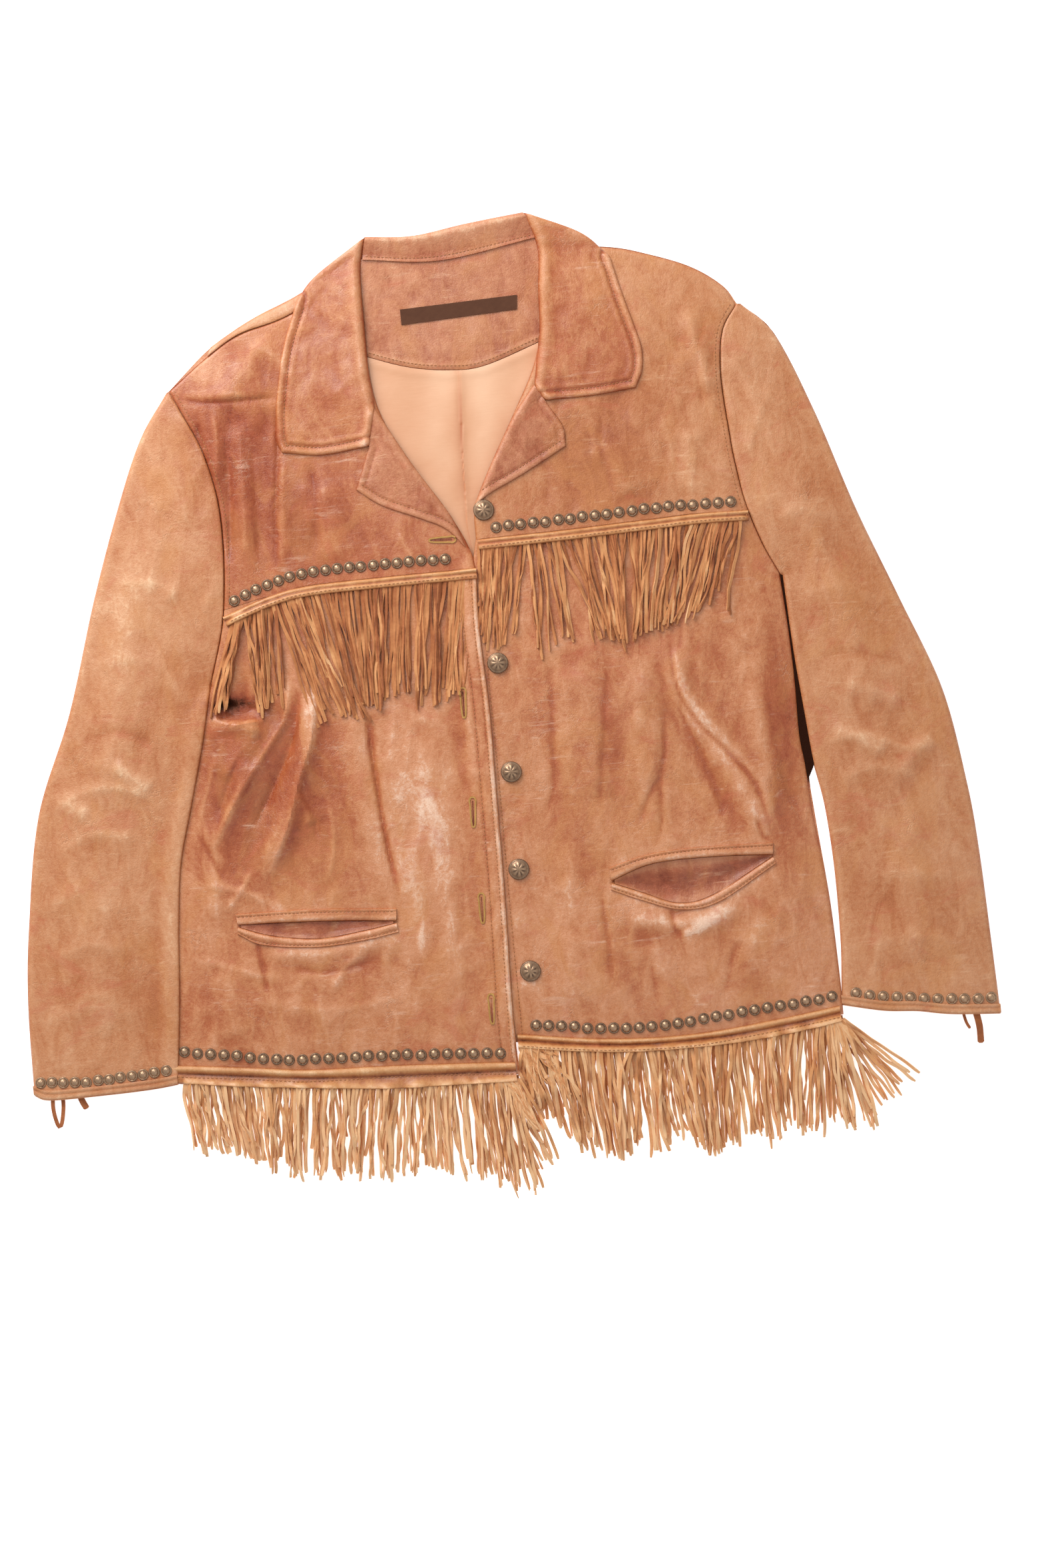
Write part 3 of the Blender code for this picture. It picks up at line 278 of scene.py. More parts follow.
# %% Smaller creases
CREASES_R = [
    ([(-234, 10), (-214, 3), (-188, 4)], 3.0, 3.2),
    ([(-232, 20), (-211, 14), (-190, 15)], 6, -4.2),
    ([(-163, 34), (-169, 4), (-188, -22), (-216, -60), (-238, -96)], 4.5, 2.6),
    ([(-156, 22), (-164, -13), (-183, -50), (-202, -82)], 4.0, -2.6),
    ([(-143, 21), (-148, -15), (-163, -52), (-174, -85), (-193, -122)], 4.0, 2.4),
    ([(-161, -56), (-153, -78), (-151, -100)], 2.5, -1.2),
    ([(-100, -3), (-98, -50), (-94, -106), (-88, -149)], 2.2, -1.6),
    ([(-103, -3), (-102, -49), (-97, -105), (-92, -148)], 6, 1.0),
    ([(-252, -82), (-243, -104), (-234, -126)], 3, -1.6),
    ([(-229, -20), (-240, -49), (-249, -78)], 4, 1.4),
    ([(-208, -22), (-223, -50), (-234, -75)], 2.5, -1.6),
    ([(-209, -120), (-219, -136), (-233, -152)], 3, 1.0),
    ([(-139, -67), (-138, -101), (-145, -135)], 3, 0.8),
    ([(-210, -180), (-208, -201), (-206, -223)], 3, -1.2),
    ([(-122, -197), (-141, -212), (-151, -228)], 4, 0.9),
    ([(-77, -124), (-72, -167), (-74, -210)], 8, 0.8),
    ([(-230, 279), (-208, 274), (-182, 273), (-153, 273)], 2.4, -1.4),
    ([(-229, 284), (-204, 279), (-174, 278)], 6, 1.2),
    ([(-152, 264), (-154, 227), (-160, 182), (-164, 134)], 2.2, -1.3),
    ([(-151, 223), (-154, 181), (-159, 137)], 6, 0.9),
    ([(-197, 234), (-198, 186), (-202, 141)], 3, -1.1),
    ([(-175, 240), (-176, 184), (-178, 135)], 4, -0.8),
    ([(-184, 252), (-186, 200), (-189, 147)], 6, 1.0),
    ([(-127, 216), (-126, 179), (-130, 142)], 4, -0.9),
    ([(-205, 265), (-204, 239), (-208, 205)], 5, 1.2),
    ([(-220, 259), (-216, 232), (-212, 202)], 3, -1.0),
    ([(-248, -130), (-222, -136), (-196, -150)], 4, 0.9),
    ([(-262, -190), (-230, -202), (-196, -214)], 5, 0.8),
    ([(-216, -230), (-150, -244), (-84, -236)], 7, 0.7),
    ([(-180, -206), (-150, -212), (-116, -206)], 3, -0.8),
    ([(-170, 320), (-148, 306), (-132, 280)], 6, 0.9),
    ([(-60, 150), (-52, 134), (-50, 122)], 4, 0.7),
]
CREASES_L = [
    ([(159, 35), (161, -1), (175, -31), (197, -58), (219, -89), (229, -130)], 2.0, -2.2),
    ([(164, 35), (167, 0), (181, -28), (203, -56), (226, -88), (234, -127)], 6.0, 1.6),
    ([(162, -5), (165, -30), (177, -60), (187, -97), (191, -119)], 2.6, -1.5),
    ([(149, -21), (146, -53), (140, -78), (138, -110), (134, -130)], 2.6, -1.6),
    ([(120, -112), (129, -91), (140, -75)], 3, -1.2),
    ([(139, -24), (137, -53), (130, -77), (121, -102)], 6, 1.2),
    ([(108, 33), (100, -9), (95, -45), (87, -98)], 3.2, -1.1),
    ([(57, 31), (54, -23), (50, -77), (39, -101)], 3.2, -1.2),
    ([(68, 26), (67, -24), (64, -74)], 9, 1.0),
    ([(235, 3), (239, -41), (246, -88), (262, -144)], 4, -1.8),
    ([(224, 0), (227, -47), (237, -95)], 8, 1.4),
    ([(139, -186), (140, -201), (146, -212)], 2.5, -2.2),
    ([(145, -208), (161, -206), (180, -197)], 5, 1.8),
    ([(81, -166), (83, -202), (84, -242)], 2.6, -1.4),
    ([(118, -231), (120, -263)], 3, -1.0),
    ([(196, -217), (184, -237), (178, -262)], 3, -1.0),
    ([(113, -187), (124, -217), (129, -246)], 6, 1.0),
    ([(220, -197), (203, -225), (193, -252)], 8, 0.9),
    ([(217, -118), (222, -133), (228, -137)], 2.4, -2.2),
    ([(40, -200), (84, -214), (130, -222)], 7, 0.7),
    ([(180, -214), (216, -222), (250, -214)], 6, 0.7),
    ([(100, 250), (112, 220), (110, 186)], 5, 0.8),
    ([(150, 320), (176, 296), (196, 262)], 6, 0.9),
    ([(212, 300), (204, 270), (206, 230)], 3, -0.9),
    ([(170, 230), (176, 196), (170, 160)], 4, 0.8),
    ([(120, 236), (118, 200), (124, 162)], 3, -0.9),
    ([(62, 214), (70, 186), (66, 158)], 4, -0.8),
]
CREASES_SLEEVE_R = [
    ([(-380, -60), (-350, -44), (-318, -40), (-286, -52)], 6, 1.0),
    ([(-372, -92), (-338, -78), (-300, -84)], 7, 0.9),
    ([(-386, -180), (-352, -170), (-316, -178)], 9, 0.7),
    ([(-398, -232), (-360, -222), (-322, -228), (-292, -220)], 9, 0.7),
    ([(-330, 60), (-296, 66), (-262, 56)], 9, 0.7),
    ([(-300, 130), (-270, 128), (-244, 112)], 8, 0.8),
    ([(-262, 232), (-246, 206), (-232, 170)], 7, 0.8),
    ([(-340, 0), (-312, 6), (-280, -6)], 6, -0.7),
    ([(-268, 60), (-252, 20), (-262, -30)], 6, 0.9),
]
CREASES_SLEEVE_L = [
    ([(280, -60), (312, -56), (350, -70), (384, -66)], 6, 1.0),
    ([(290, -92), (322, -84), (356, -96)], 7, 0.9),
    ([(296, -180), (334, -174), (376, -182)], 9, 0.7),
    ([(292, -236), (334, -228), (380, -238)], 9, 0.7),
    ([(270, 60), (300, 70), (336, 58)], 9, 0.7),
    ([(256, 130), (280, 138), (310, 128)], 8, 0.8),
    ([(240, 190), (252, 220), (266, 244)], 7, 0.8),
    ([(276, 10), (310, 14), (350, 2)], 6, -0.7),
]

# %% Relief of a hide
# Edges, armhole, folds, creases, shares of both, sharpness, crown, seed, turn of the swells
RELIEFS = dict(
    body_right=([SIDE_R, ROOT_R, SHOULDER_FOLD_R], ARM_R, FOLDS_R, CREASES_R,
                0.8, 1.0, 1.3, CROWN, 11, 78),
    body_left=([SIDE_L, ROOT_L, SHOULDER_L], ARM_L, FOLDS_L, CREASES_L,
               0.8, 0.52, 1.3, CROWN, 31, 78),
    sleeve_right=([SLEEVE_R_OUTER, SLEEVE_R_INNER], ARM_R, FOLDS_SLEEVE_R, CREASES_SLEEVE_R,
                  1.0, 1.0, 1.4, SLEEVE_CROWN, 51, 70),
    sleeve_left=([SLEEVE_L_OUTER, SLEEVE_L_INNER], ARM_L, FOLDS_SLEEVE_L, CREASES_SLEEVE_L,
                 1.0, 1.0, 1.4, SLEEVE_CROWN, 71, 110),
)


def fold_relief(xy, table, sharp=1.7):
    z = np.zeros(xy.shape[:-1])
    for line, half_width, height in table:
        d, t = distance(xy, few(line, 14))
        fade = np.clip(np.minimum(t, 1 - t) * 5 + 0.25, 0, 1)
        z += FOLD_DEPTH * height * fade * np.exp(-(d / half_width) ** sharp)
    return z


def swell(xy, size, seed, turn=0.0, longer=1.0):
    """Soft random relief from -1 to 1, its waves about size across and longer times as long."""
    c, s = math.cos(math.radians(turn)), math.sin(math.radians(turn))
    x = (xy[..., 0] * c + xy[..., 1] * s) / (size * longer) + 500
    y = (xy[..., 1] * c - xy[..., 0] * s) / size + 500
    heights = np.random.RandomState(seed).uniform(-1, 1, (97, 97))
    i, j = np.floor(x).astype(int), np.floor(y).astype(int)
    fx, fy = x - i, y - j
    fx, fy = (f * f * f * (f * (f * 6 - 15) + 10) for f in (fx, fy))
    a, b = heights[i % 97, j % 97], heights[(i + 1) % 97, j % 97]
    c, d = heights[i % 97, (j + 1) % 97], heights[(i + 1) % 97, (j + 1) % 97]
    return (a * (1 - fx) + b * fx) * (1 - fy) + (c * (1 - fx) + d * fx) * fy


def rise(xy, lines, width):
    """0 on the given edges, up to 1 well inside them."""
    d = np.min([away(xy, line) for line in lines], axis=0)
    return 1 - np.exp(-(d / width) ** 1.3)


def hide_relief(xy, seed, turn):
    """Swells of three sizes, and fine ridged creases between them."""
    fine = 1 - 2 * np.abs(swell(xy, 17, seed + 3, turn, 2.2))
    gate = np.clip(0.5 + swell(xy, 60, seed + 4), 0, 1)
    return (1.0 * swell(xy, 62, seed, turn, 2.4) + 0.62 * swell(xy, 26, seed + 1, turn + 12, 1.8)
            + 0.26 * swell(xy, 10, seed + 2, turn - 20, 1.5) + 0.42 * gate * fine)


def relief(xy, part):
    """Height of a hide's upper face as it lies on the table by itself."""
    edges, arm, folds, creases, share, fine_share, sharp, crown, seed, turn = RELIEFS[part]
    groove = 1.2 * bell(away(xy, arm), 0, 9)
    shape = share * fold_relief(xy, folds) + fine_share * fold_relief(xy, creases, sharp)
    return LOW + rise(xy, edges, EDGE_ROLL) * (crown - groove + shape + hide_relief(xy, seed, turn))


def turned(xy, line, width, depth):
    """How far a hide drops where it turns over along an edge."""
    t = np.clip(1 - away(xy, line, 60) / width, 0, 1)
    return depth * (1 - np.sqrt(1 - t ** 2))


# %% [markdown]
# ## Laying the pieces on each other
# Each piece leaves its height on a one-millimetre grid of the table. The next piece reads that
# grid where the two overlap and is lifted just clear. The lift is spread to the cells around and
# smoothed, as a hide bridges a step rather than folding sharply over it.

# %% The table's height grid, and the walls of a hide
REACH = 440                     # half the grid's side, in millimetres
FLOOR = 0.12                    # how far a raised piece's underside stays off the table
laid, hides = {}, {}            # height grids and objects by the name of the CAD node


def blank():
    return np.zeros((2 * REACH, 2 * REACH), np.float32)


def stamp(grid, top):
    """Height grid of a surface given as a grid of points and heights."""
    z = blank()
    longest = max(np.linalg.norm(np.diff(grid, axis=a), axis=-1).max() for a in (0, 1))
    k = int(np.ceil(longest / 0.7))
    first, last = slice(None, -1), slice(1, None)
    for a in np.arange(k) / k:
        for b in np.arange(k) / k:
            corners = [((1 - a) * (1 - b), (first, first)), (a * (1 - b), (last, first)),
                       ((1 - a) * b, (first, last)), (a * b, (last, last))]
            p = sum(share * grid[at] for share, at in corners)
            h = sum(share * top[at] for share, at in corners)
            ij = np.clip(np.rint(p + REACH).astype(int), 0, 2 * REACH - 1)
            np.maximum.at(z, (ij[..., 1].ravel(), ij[..., 0].ravel()), h.ravel().astype(np.float32))
    return z


def read(z, xy):
    """Height at each point, between the grid's cells."""
    p = np.clip(np.asarray(xy, float) + REACH, 0, 2 * REACH - 2)
    i, j = np.floor(p[..., 1]).astype(int), np.floor(p[..., 0]).astype(int)
    fy, fx = p[..., 1] - i, p[..., 0] - j
    return ((z[i, j] * (1 - fx) + z[i, j + 1] * fx) * (1 - fy)
            + (z[i + 1, j] * (1 - fx) + z[i + 1, j + 1] * fx) * fy)


def heap(*names):
    """What the named pieces make together."""
    return np.max([laid[n] for n in names], axis=0)


def neighbours(a):
    p = np.pad(a, 1, mode="edge")
    return [p[:-2, 1:-1], p[2:, 1:-1], p[1:-1, :-2], p[1:-1, 2:]]


def soften(a, rounds):
    for _ in range(rounds):
        a = (sum(neighbours(a)) + 2 * a) / 6
    return a


def widest(a, rounds):
    for _ in range(rounds):
        a = np.max(neighbours(a) + [a], axis=0)
    return a


def covering(z, xy, rounds):
    """A smooth sheet over whatever stands on the grid z."""
    return soften(widest(read(z, xy), 2), rounds)


def drape(grid, top, below, where=1.0, reach=4):
    """Lift a hide clear of what lies below it."""
    lack = np.clip(read(below, grid) + LEATHER + 0.35 - top, 0, None)
    lack = np.where(read(below, grid) > 0, lack, 0) * where
    return top + np.maximum(lack, soften(widest(lack, reach), 2 * reach))


def wall(grid, top, thick, floor=FLOOR):
    """Points, faces and the grid cells they came from, of a closed hide with that top."""
    rows, columns = grid.shape[:2]
    k = np.arange(rows * columns).reshape(rows, columns)
    quads = np.stack([k[:-1, :-1], k[:-1, 1:], k[1:, 1:], k[1:, :-1]], -1).reshape(-1, 4)
    rim = np.r_[k[0, :-1], k[:-1, -1], k[-1, :0:-1], k[:0:-1, 0]]
    # The underside is seen by nobody, so it keeps one row in three.
    r, c = (np.r_[0:3 * (m // 3) + 1:3, 3 * (m // 3) + 1:m + 1] for m in (rows - 1, columns - 1))
    under = k[np.ix_(r, c)]
    used = np.unique(np.r_[rim, under.ravel()])
    top = np.maximum(top, floor + 0.6)
    lower = np.zeros(k.size, int)
    lower[used] = np.arange(used.size) + k.size
    source = np.r_[k.ravel(), used]
    points = np.dstack([grid, top]).reshape(-1, 3)[source]
    points[k.size:, 2] = np.maximum(top - thick, floor).ravel()[used]
    after = np.roll(rim, -1)
    sides = np.stack([lower[rim], lower[after], after, rim], -1)
    u = lower[under]
    base = np.stack([u[:-1, :-1], u[1:, :-1], u[1:, 1:], u[:-1, 1:]], -1).reshape(-1, 4)
    # A thin face joins each long edge of the base to the three short ones of the side.
    kept = np.flatnonzero(np.isin(rim, under))
    long = kept[(np.roll(kept, -1) - kept) % rim.size == 3]
    seams = np.stack([lower[rim[(long + j) % rim.size]] for j in (0, 3, 2, 1)], -1)
    return points, np.vstack([quads, sides, base, seams]), source


def joined(parts):
    """Several (points, faces, tone) bodies as one."""
    points, faces, tones, n = [], [], [], 0
    for p, f, t in parts:
        points.append(p)
        faces.append(f + n)
        tones.append(np.broadcast_to(t, len(p)))
        n += len(p)
    return np.vstack(points), np.vstack(faces), np.concatenate(tones)


SLOTS = {"golden leather": "sleeve_leather", "sewing thread": "piping_leather",
         "buttonhole thread": "piping_leather"}


def piece(name, body, finish, tone=None, crisp=38, slot=None, nodes=None):
    """A mesh object of the jacket; its name is the CAD node's with a word more.

    A body is points, faces and either a tone for each point or, from wall, its grid cell, which
    picks the point's tone from a grid of tones.
    """
    points, faces, source = body
    if tone is None:
        tone = source
    elif np.ndim(tone) > 1:
        tone = tone.ravel()[source]
    mesh = bpy.data.meshes.new(name)
    faces = np.asarray(faces)
    mesh.vertices.add(len(points))
    mesh.vertices.foreach_set("co", (np.asarray(points) * MM).ravel())
    mesh.loops.add(faces.size)
    mesh.loops.foreach_set("vertex_index", faces.ravel())
    mesh.polygons.add(len(faces))
    mesh.polygons.foreach_set("loop_start", np.arange(len(faces)) * faces.shape[1])
    mesh.update(calc_edges=True)
    mesh.validate()
    mesh.attributes.new("tone", "FLOAT", "POINT").data.foreach_set(
        "value", np.broadcast_to(np.asarray(tone, float).ravel(), len(points)).copy())
    mesh.shade_smooth()
    mesh.set_sharp_from_angle(angle=math.radians(crisp))
    mesh.materials.append(finish)
    obj = bpy.data.objects.new(name, mesh)
    bpy.context.scene.collection.objects.link(obj)
    node = name.rpartition("_")[0]
    hides[node] = obj
    slot = slot or SLOTS.get(finish.name, finish.name.replace(" ", "_"))
    nodes = [node] if nodes is None else nodes
    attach(obj, "root")
    if nodes:
        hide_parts(*nodes)
    return obj

# %% [markdown]
# ## Writing a finish as an expression
# A material is a small program of nodes. Wrapping an output socket in a class that overloads
# + - * / lets the program be written as a sum, which is easier to read than a list of links.
# Colours go through Mix nodes, because a Math node would turn them grey.

# %% Shader helpers
class Value:
    """What comes out of one of a finish's nodes."""

    def __init__(self, finish, socket):
        self.finish, self.socket = finish, socket

    def math(self, operation, *values):
        return self.finish.node("ShaderNodeMath", {"operation": operation}, dict(enumerate(values)))

    def __add__(self, other):
        return self.math("ADD", self, other)

    def __sub__(self, other):
        return self.math("SUBTRACT", self, other)

    def __rsub__(self, other):
        return self.math("SUBTRACT", other, self)

    def __mul__(self, other):
        return self.math("MULTIPLY", self, other)

    __radd__, __rmul__ = __add__, __mul__

    def size(self):
        return self.math("ABSOLUTE", self)

    def between(self, low, high):
        """0 below low, 1 above high, smooth between."""
        return self.finish.node("ShaderNodeMapRange", {"interpolation_type": "SMOOTHSTEP"},
                                {"Value": self, "From Min": low, "From Max": high})


class Finish:
    """A material under construction around one Principled shader."""

    def __init__(self, name, **fixed):
        self.material = bpy.data.materials.new(name)
        self.material.use_nodes = True
        self.tree = self.material.node_tree
        self.shader = self.tree.nodes["Principled BSDF"]
        self.place = self.node("ShaderNodeTexCoord", out="Object")
        for socket, number in fixed.items():
            self.shader.inputs[socket.replace("_", " ")].default_value = number

    def node(self, kind, settings=None, inputs=None, out=0):
        made = self.tree.nodes.new(kind)
        for key, setting in (settings or {}).items():
            if key == "stops":
                ramp = made.color_ramp
                while len(ramp.elements) < len(setting):
                    ramp.elements.new(0.5)
                for element, (position, colour) in zip(ramp.elements, setting):
                    element.position, element.color = position, colour
            else:
                setattr(made, key, setting)
        for key, given in (inputs or {}).items():
            if isinstance(given, Value):
                self.tree.links.new(given.socket, made.inputs[key])
            else:
                made.inputs[key].default_value = given
        return Value(self, made.outputs[out])

    def painted(self, attribute):
        return self.node("ShaderNodeAttribute", {"attribute_name": attribute}, out="Fac")

    def stretched(self, x, y, z=1.0, turn=0.0):
        """Coordinates scaled along axes turned about Z."""
        return self.node("ShaderNodeMapping", {"vector_type": "POINT"}, {
            "Vector": self.place, "Rotation": (0, 0, math.radians(turn)), "Scale": (x, y, z)})

    def noise(self, size, detail=4.0, rough=0.55, warp=0.0, where=None):
        """Cloudy noise from 0 to 1 with features about size millimetres across."""
        return self.node("ShaderNodeTexNoise", None, {
            "Vector": where or self.place, "Scale": 1000 / size, "Detail": detail,
            "Roughness": rough, "Distortion": warp})

    def cells(self, size, feature="F1", where=None):
        return self.node("ShaderNodeTexVoronoi", {"feature": feature}, {
            "Vector": where or self.place, "Scale": 1000 / size}, out="Distance")

    def mix(self, a, b, share, how="MIX"):
        return self.node("ShaderNodeMix", {"data_type": "RGBA", "blend_type": how},
                         {0: share, 6: a, 7: b}, out=2)

    def ramp(self, share, stops):
        return self.node("ShaderNodeValToRGB", {"stops": stops}, {"Fac": share})

    def feed(self, **links):
        for socket, given in links.items():
            target = self.shader.inputs[socket.replace("_", " ")]
            if isinstance(given, Value):
                self.tree.links.new(given.socket, target)
            else:
                target.default_value = given
        return self.material

    def bump(self, height, distance_mm, strength=1.0):
        return self.node("ShaderNodeBump", None, {
            "Height": height, "Distance": distance_mm * MM, "Strength": strength})


def ink(r, g, b):
    """A colour as read from a screen (0 to 255), made linear for the renderer."""
    linear = [((c / 255 + 0.055) / 1.055) ** 2.4 if c > 10.3 else c / 3294.6 for c in (r, g, b)]
    return (*linear, 1.0)


# %% [markdown]
# ## The leathers
# Old pull-up leather isn't one colour. Oil and wax move away from where the hide bends, so
# ridges go golden and troughs stay russet; handling leaves blotches, hairline cracks in the
# finish and pale scuffs. One recipe makes every leather here. The painted "tone" of the mesh
# says where a region is worn or dark, and it also carries painted shade in deep folds, gaps and
# grooves and painted highlights on glossy crests; noise at three scales breaks it up. So the
# colour holds some light and shade of its own and is not true under every light.

# %% Leather
def leather(name, dark, deep, middle, pale, bleached, rough=0.5, scuffs=1.0, grain=1.0, drift=0.0):
    f = Finish(name, Coat_Roughness=0.24)
    blotches = f.noise(70, 5, 0.6, 0.8)
    marks = f.noise(17, 6, 0.7, 1.4, f.stretched(1.0, 0.42, 1.0, 6))
    flecks = f.noise(3.4, 4, 0.74, 0.6)
    tone = (f.painted("tone") + (blotches - 0.5) * 1.05 + (marks - 0.5) * 1.6
            + (flecks - 0.5) * 1.3 + drift)
    # The two darkest stops are painted shade, for folds and gaps where no light reaches.
    colour = f.ramp(tone * 0.3 + 0.7, [(0.0, ink(44, 20, 10)), (0.16, ink(70, 32, 16)), (0.34, dark),
                                       (0.56, deep), (0.7, middle), (0.84, pale), (1.0, bleached)])
    # Oil has gone gold in some places and the dye has gone rose in others.
    gold = f.noise(44, 5, 0.62, 1.0, f.stretched(1.0, 0.6, 1.0, 15)).between(0.48, 0.66)
    rose = f.noise(36, 5, 0.66, 1.1, f.stretched(0.7, 1.1, 1.0, -30)).between(0.54, 0.7)
    # This mask is 0 in the deepest painted shade and 1 above a tone of -1.2; it keeps gold, rose, cracks,
    # scuffs and gloss out of the painted shade.
    outside_painted_shade = tone.between(-2.1, -1.2)
    colour = f.mix(colour, ink(206, 138, 78), gold * outside_painted_shade * 0.3)
    colour = f.mix(colour, ink(190, 98, 64), rose * outside_painted_shade * 0.42)
    # Hairline cracks run where the hide has flexed, and the pale split shows in them.
    bent = f.node("ShaderNodeMix", {"data_type": "VECTOR"}, {
        0: 0.02, 4: f.place, 5: f.node("ShaderNodeTexNoise", None, {
            "Vector": f.place, "Scale": 80.0, "Detail": 3.0}, out="Color")}, out=1)
    cracks = 1 - f.cells(6.0, "DISTANCE_TO_EDGE", bent).between(0.01, 0.08)
    flexed = f.noise(30, 3, 0.6, 0.4).between(0.54, 0.74)
    colour = f.mix(colour, bleached, cracks * flexed * outside_painted_shade * 0.15)
    # Scuffs are short streaks that lean one way or the other.
    streaks = None
    for turn, size in ((40, 4), (-56, 5), (80, 6), (62, 3.4)):
        streak = f.noise(size, 3, 0.6, 0.5, f.stretched(0.12, 1.0, 1.0, turn)).between(0.6, 0.76)
        streaks = streak if streaks is None else streaks + streak
    patchy = f.noise(34, 4, 0.66).between(0.42, 0.64)
    colour = f.mix(colour, bleached, streaks * patchy * outside_painted_shade * (0.32 * scuffs))
    pores = f.cells(1.25)
    height = pores * (0.2 * grain) + flecks * 0.45 - cracks * (flexed * 0.3) + marks * 1.0
    waxed = f.noise(47, 4, 0.6, 0.6).between(0.42, 0.62)
    return f.feed(Base_Color=colour, Roughness=rough + (flecks - 0.5) * 0.3 - waxed * 0.08,
                  Normal=f.bump(height, 1.0, 0.7), Coat_Weight=(waxed * 0.28 + 0.02) * outside_painted_shade,
                  Specular_IOR_Level=outside_painted_shade * 0.46 + 0.04)


golden = leather("golden leather", ink(156, 78, 36), ink(184, 110, 64), ink(200, 134, 90),
                 ink(212, 152, 110), ink(236, 190, 150))
tan = leather("tan leather", ink(150, 64, 28), ink(178, 97, 56), ink(199, 128, 84),
              ink(215, 150, 110), ink(242, 202, 175), rough=0.44)
russet = leather("facing leather", ink(136, 60, 30), ink(168, 92, 58), ink(191, 121, 84),
                 ink(206, 140, 102), ink(230, 180, 144), rough=0.46, scuffs=1.5)
piping = leather("piping leather", ink(140, 74, 36), ink(178, 108, 60), ink(202, 138, 84),
                 ink(216, 158, 106), ink(236, 192, 146), rough=0.52, scuffs=0.6, grain=0.7)

# %% [markdown]
# The fringe is cut through the hide, so it shows the soft nap of the split on its edges. It is
# rougher than the panels and changes colour from thong to thong; each thong's own tone is
# painted on its mesh.

# %% Thongs, satin, label and thread
f = Finish("fringe leather", Specular_IOR_Level=0.25, Sheen_Weight=0.18, Sheen_Roughness=0.5)
nap = f.noise(2.2, 4, 0.7)
fade = f.painted("tone") + (f.noise(11, 4, 0.6) - 0.5) * 0.9 + (nap - 0.5) * 0.5
thong_leather = f.feed(
    Base_Color=f.ramp(fade * 0.5 + 0.5, [(0.0, ink(112, 56, 30)), (0.28, ink(168, 98, 56)),
                                         (0.5, ink(200, 132, 82)), (0.75, ink(222, 160, 106)),
                                         (1.0, ink(240, 192, 144))]),
    Roughness=0.68, Normal=f.bump(nap + f.noise(6, 3) * 0.6, 0.4, 0.6))

f = Finish("satin lining", Specular_IOR_Level=0.5, Sheen_Weight=0.25, Sheen_Roughness=0.4)
weft = f.noise(1.4, 2, 0.5, 0, f.stretched(0.12, 1.0))
soft = f.noise(44, 3, 0.5, 0.4)
satin = f.feed(
    Base_Color=f.ramp(f.painted("tone") + soft * 0.5 + weft * 0.12 + 0.17,
                      [(0.0, ink(190, 116, 76)), (0.5, ink(221, 163, 124)), (1.0, ink(240, 192, 156))]),
    Roughness=0.36 + soft * 0.12, Normal=f.bump(weft * 0.3 + f.noise(19, 3) * 1.2, 0.35, 0.5))

f = Finish("label cloth", Specular_IOR_Level=0.2)
warp = f.node("ShaderNodeTexWave", {"wave_type": "BANDS", "bands_direction": "X"},
              {"Vector": f.place, "Scale": 520.0, "Distortion": 0.6, "Detail": 1.0}, out="Fac")
label_cloth = f.feed(
    Base_Color=f.mix(ink(74, 44, 32), ink(112, 74, 54), warp * 0.5 + f.noise(7, 4) * 0.5),
    Roughness=0.85, Normal=f.bump(warp, 0.25, 0.6))

f = Finish("sewing thread", Specular_IOR_Level=0.3)
thread = f.feed(Base_Color=f.mix(ink(140, 80, 46), ink(204, 146, 98), f.noise(9, 3)), Roughness=0.6)
f = Finish("buttonhole thread", Specular_IOR_Level=0.4)
hole_thread = f.feed(Base_Color=f.mix(ink(158, 108, 48), ink(206, 162, 88), f.noise(6, 3)),
                     Roughness=0.5)

# %% [markdown]
# Antique brass is bright only where handling has rubbed it. The mesh's tone follows the height
# of the relief, so recesses keep their brown patina and the raised pattern shines.

# %% Antique brass
f = Finish("antique brass", Specular_IOR_Level=0.5)
spots = f.noise(2.4, 4, 0.65)
rubbed = (f.painted("tone") + (spots - 0.5) * 0.9).between(-0.35, 0.75)
brass = f.feed(
    Base_Color=f.mix(ink(74, 50, 38), ink(184, 150, 120), rubbed),
    Metallic=0.5 + rubbed * 0.3, Roughness=0.5 - rubbed * 0.14, Normal=f.bump(spots, 0.12, 0.5))
print("finishes:", [m.name for m in bpy.data.materials if m.users])

# %% [markdown]
# ## Camera, light and table
# The jacket is seen straight down, turned a little, so the camera rolls instead of the jacket.
# A white world gives the shadowless look of a cut-out; one large lamp up the page, a little
# left, models the folds. A small lamp would draw hard shadows that the picture doesn't have.

# %% Camera and studio
lens = bpy.data.cameras.new("straight down")
lens.sensor_fit, lens.sensor_height, lens.lens = "VERTICAL", 36.0, 68.14
eye = bpy.data.objects.new("camera", lens)
eye.location = (0.024, -0.070, 2.5)
eye.rotation_euler = (0, 0, math.radians(-5.5))
bpy.context.scene.collection.objects.link(eye)
bpy.context.scene.camera = eye


def lamp(name, spot, aim, size, watts, colour=(1, 1, 1)):
    data = bpy.data.lights.new(name, "AREA")
    data.shape, data.size, data.energy, data.color = "DISK", size, watts, colour
    made = bpy.data.objects.new(name, data)
    made.location = spot
    ray = np.subtract(aim, spot)
    made.rotation_euler = (math.atan2(math.hypot(ray[0], ray[1]), -ray[2]), 0,
                           math.atan2(ray[0], -ray[1]) + math.pi)
    bpy.context.scene.collection.objects.link(made)


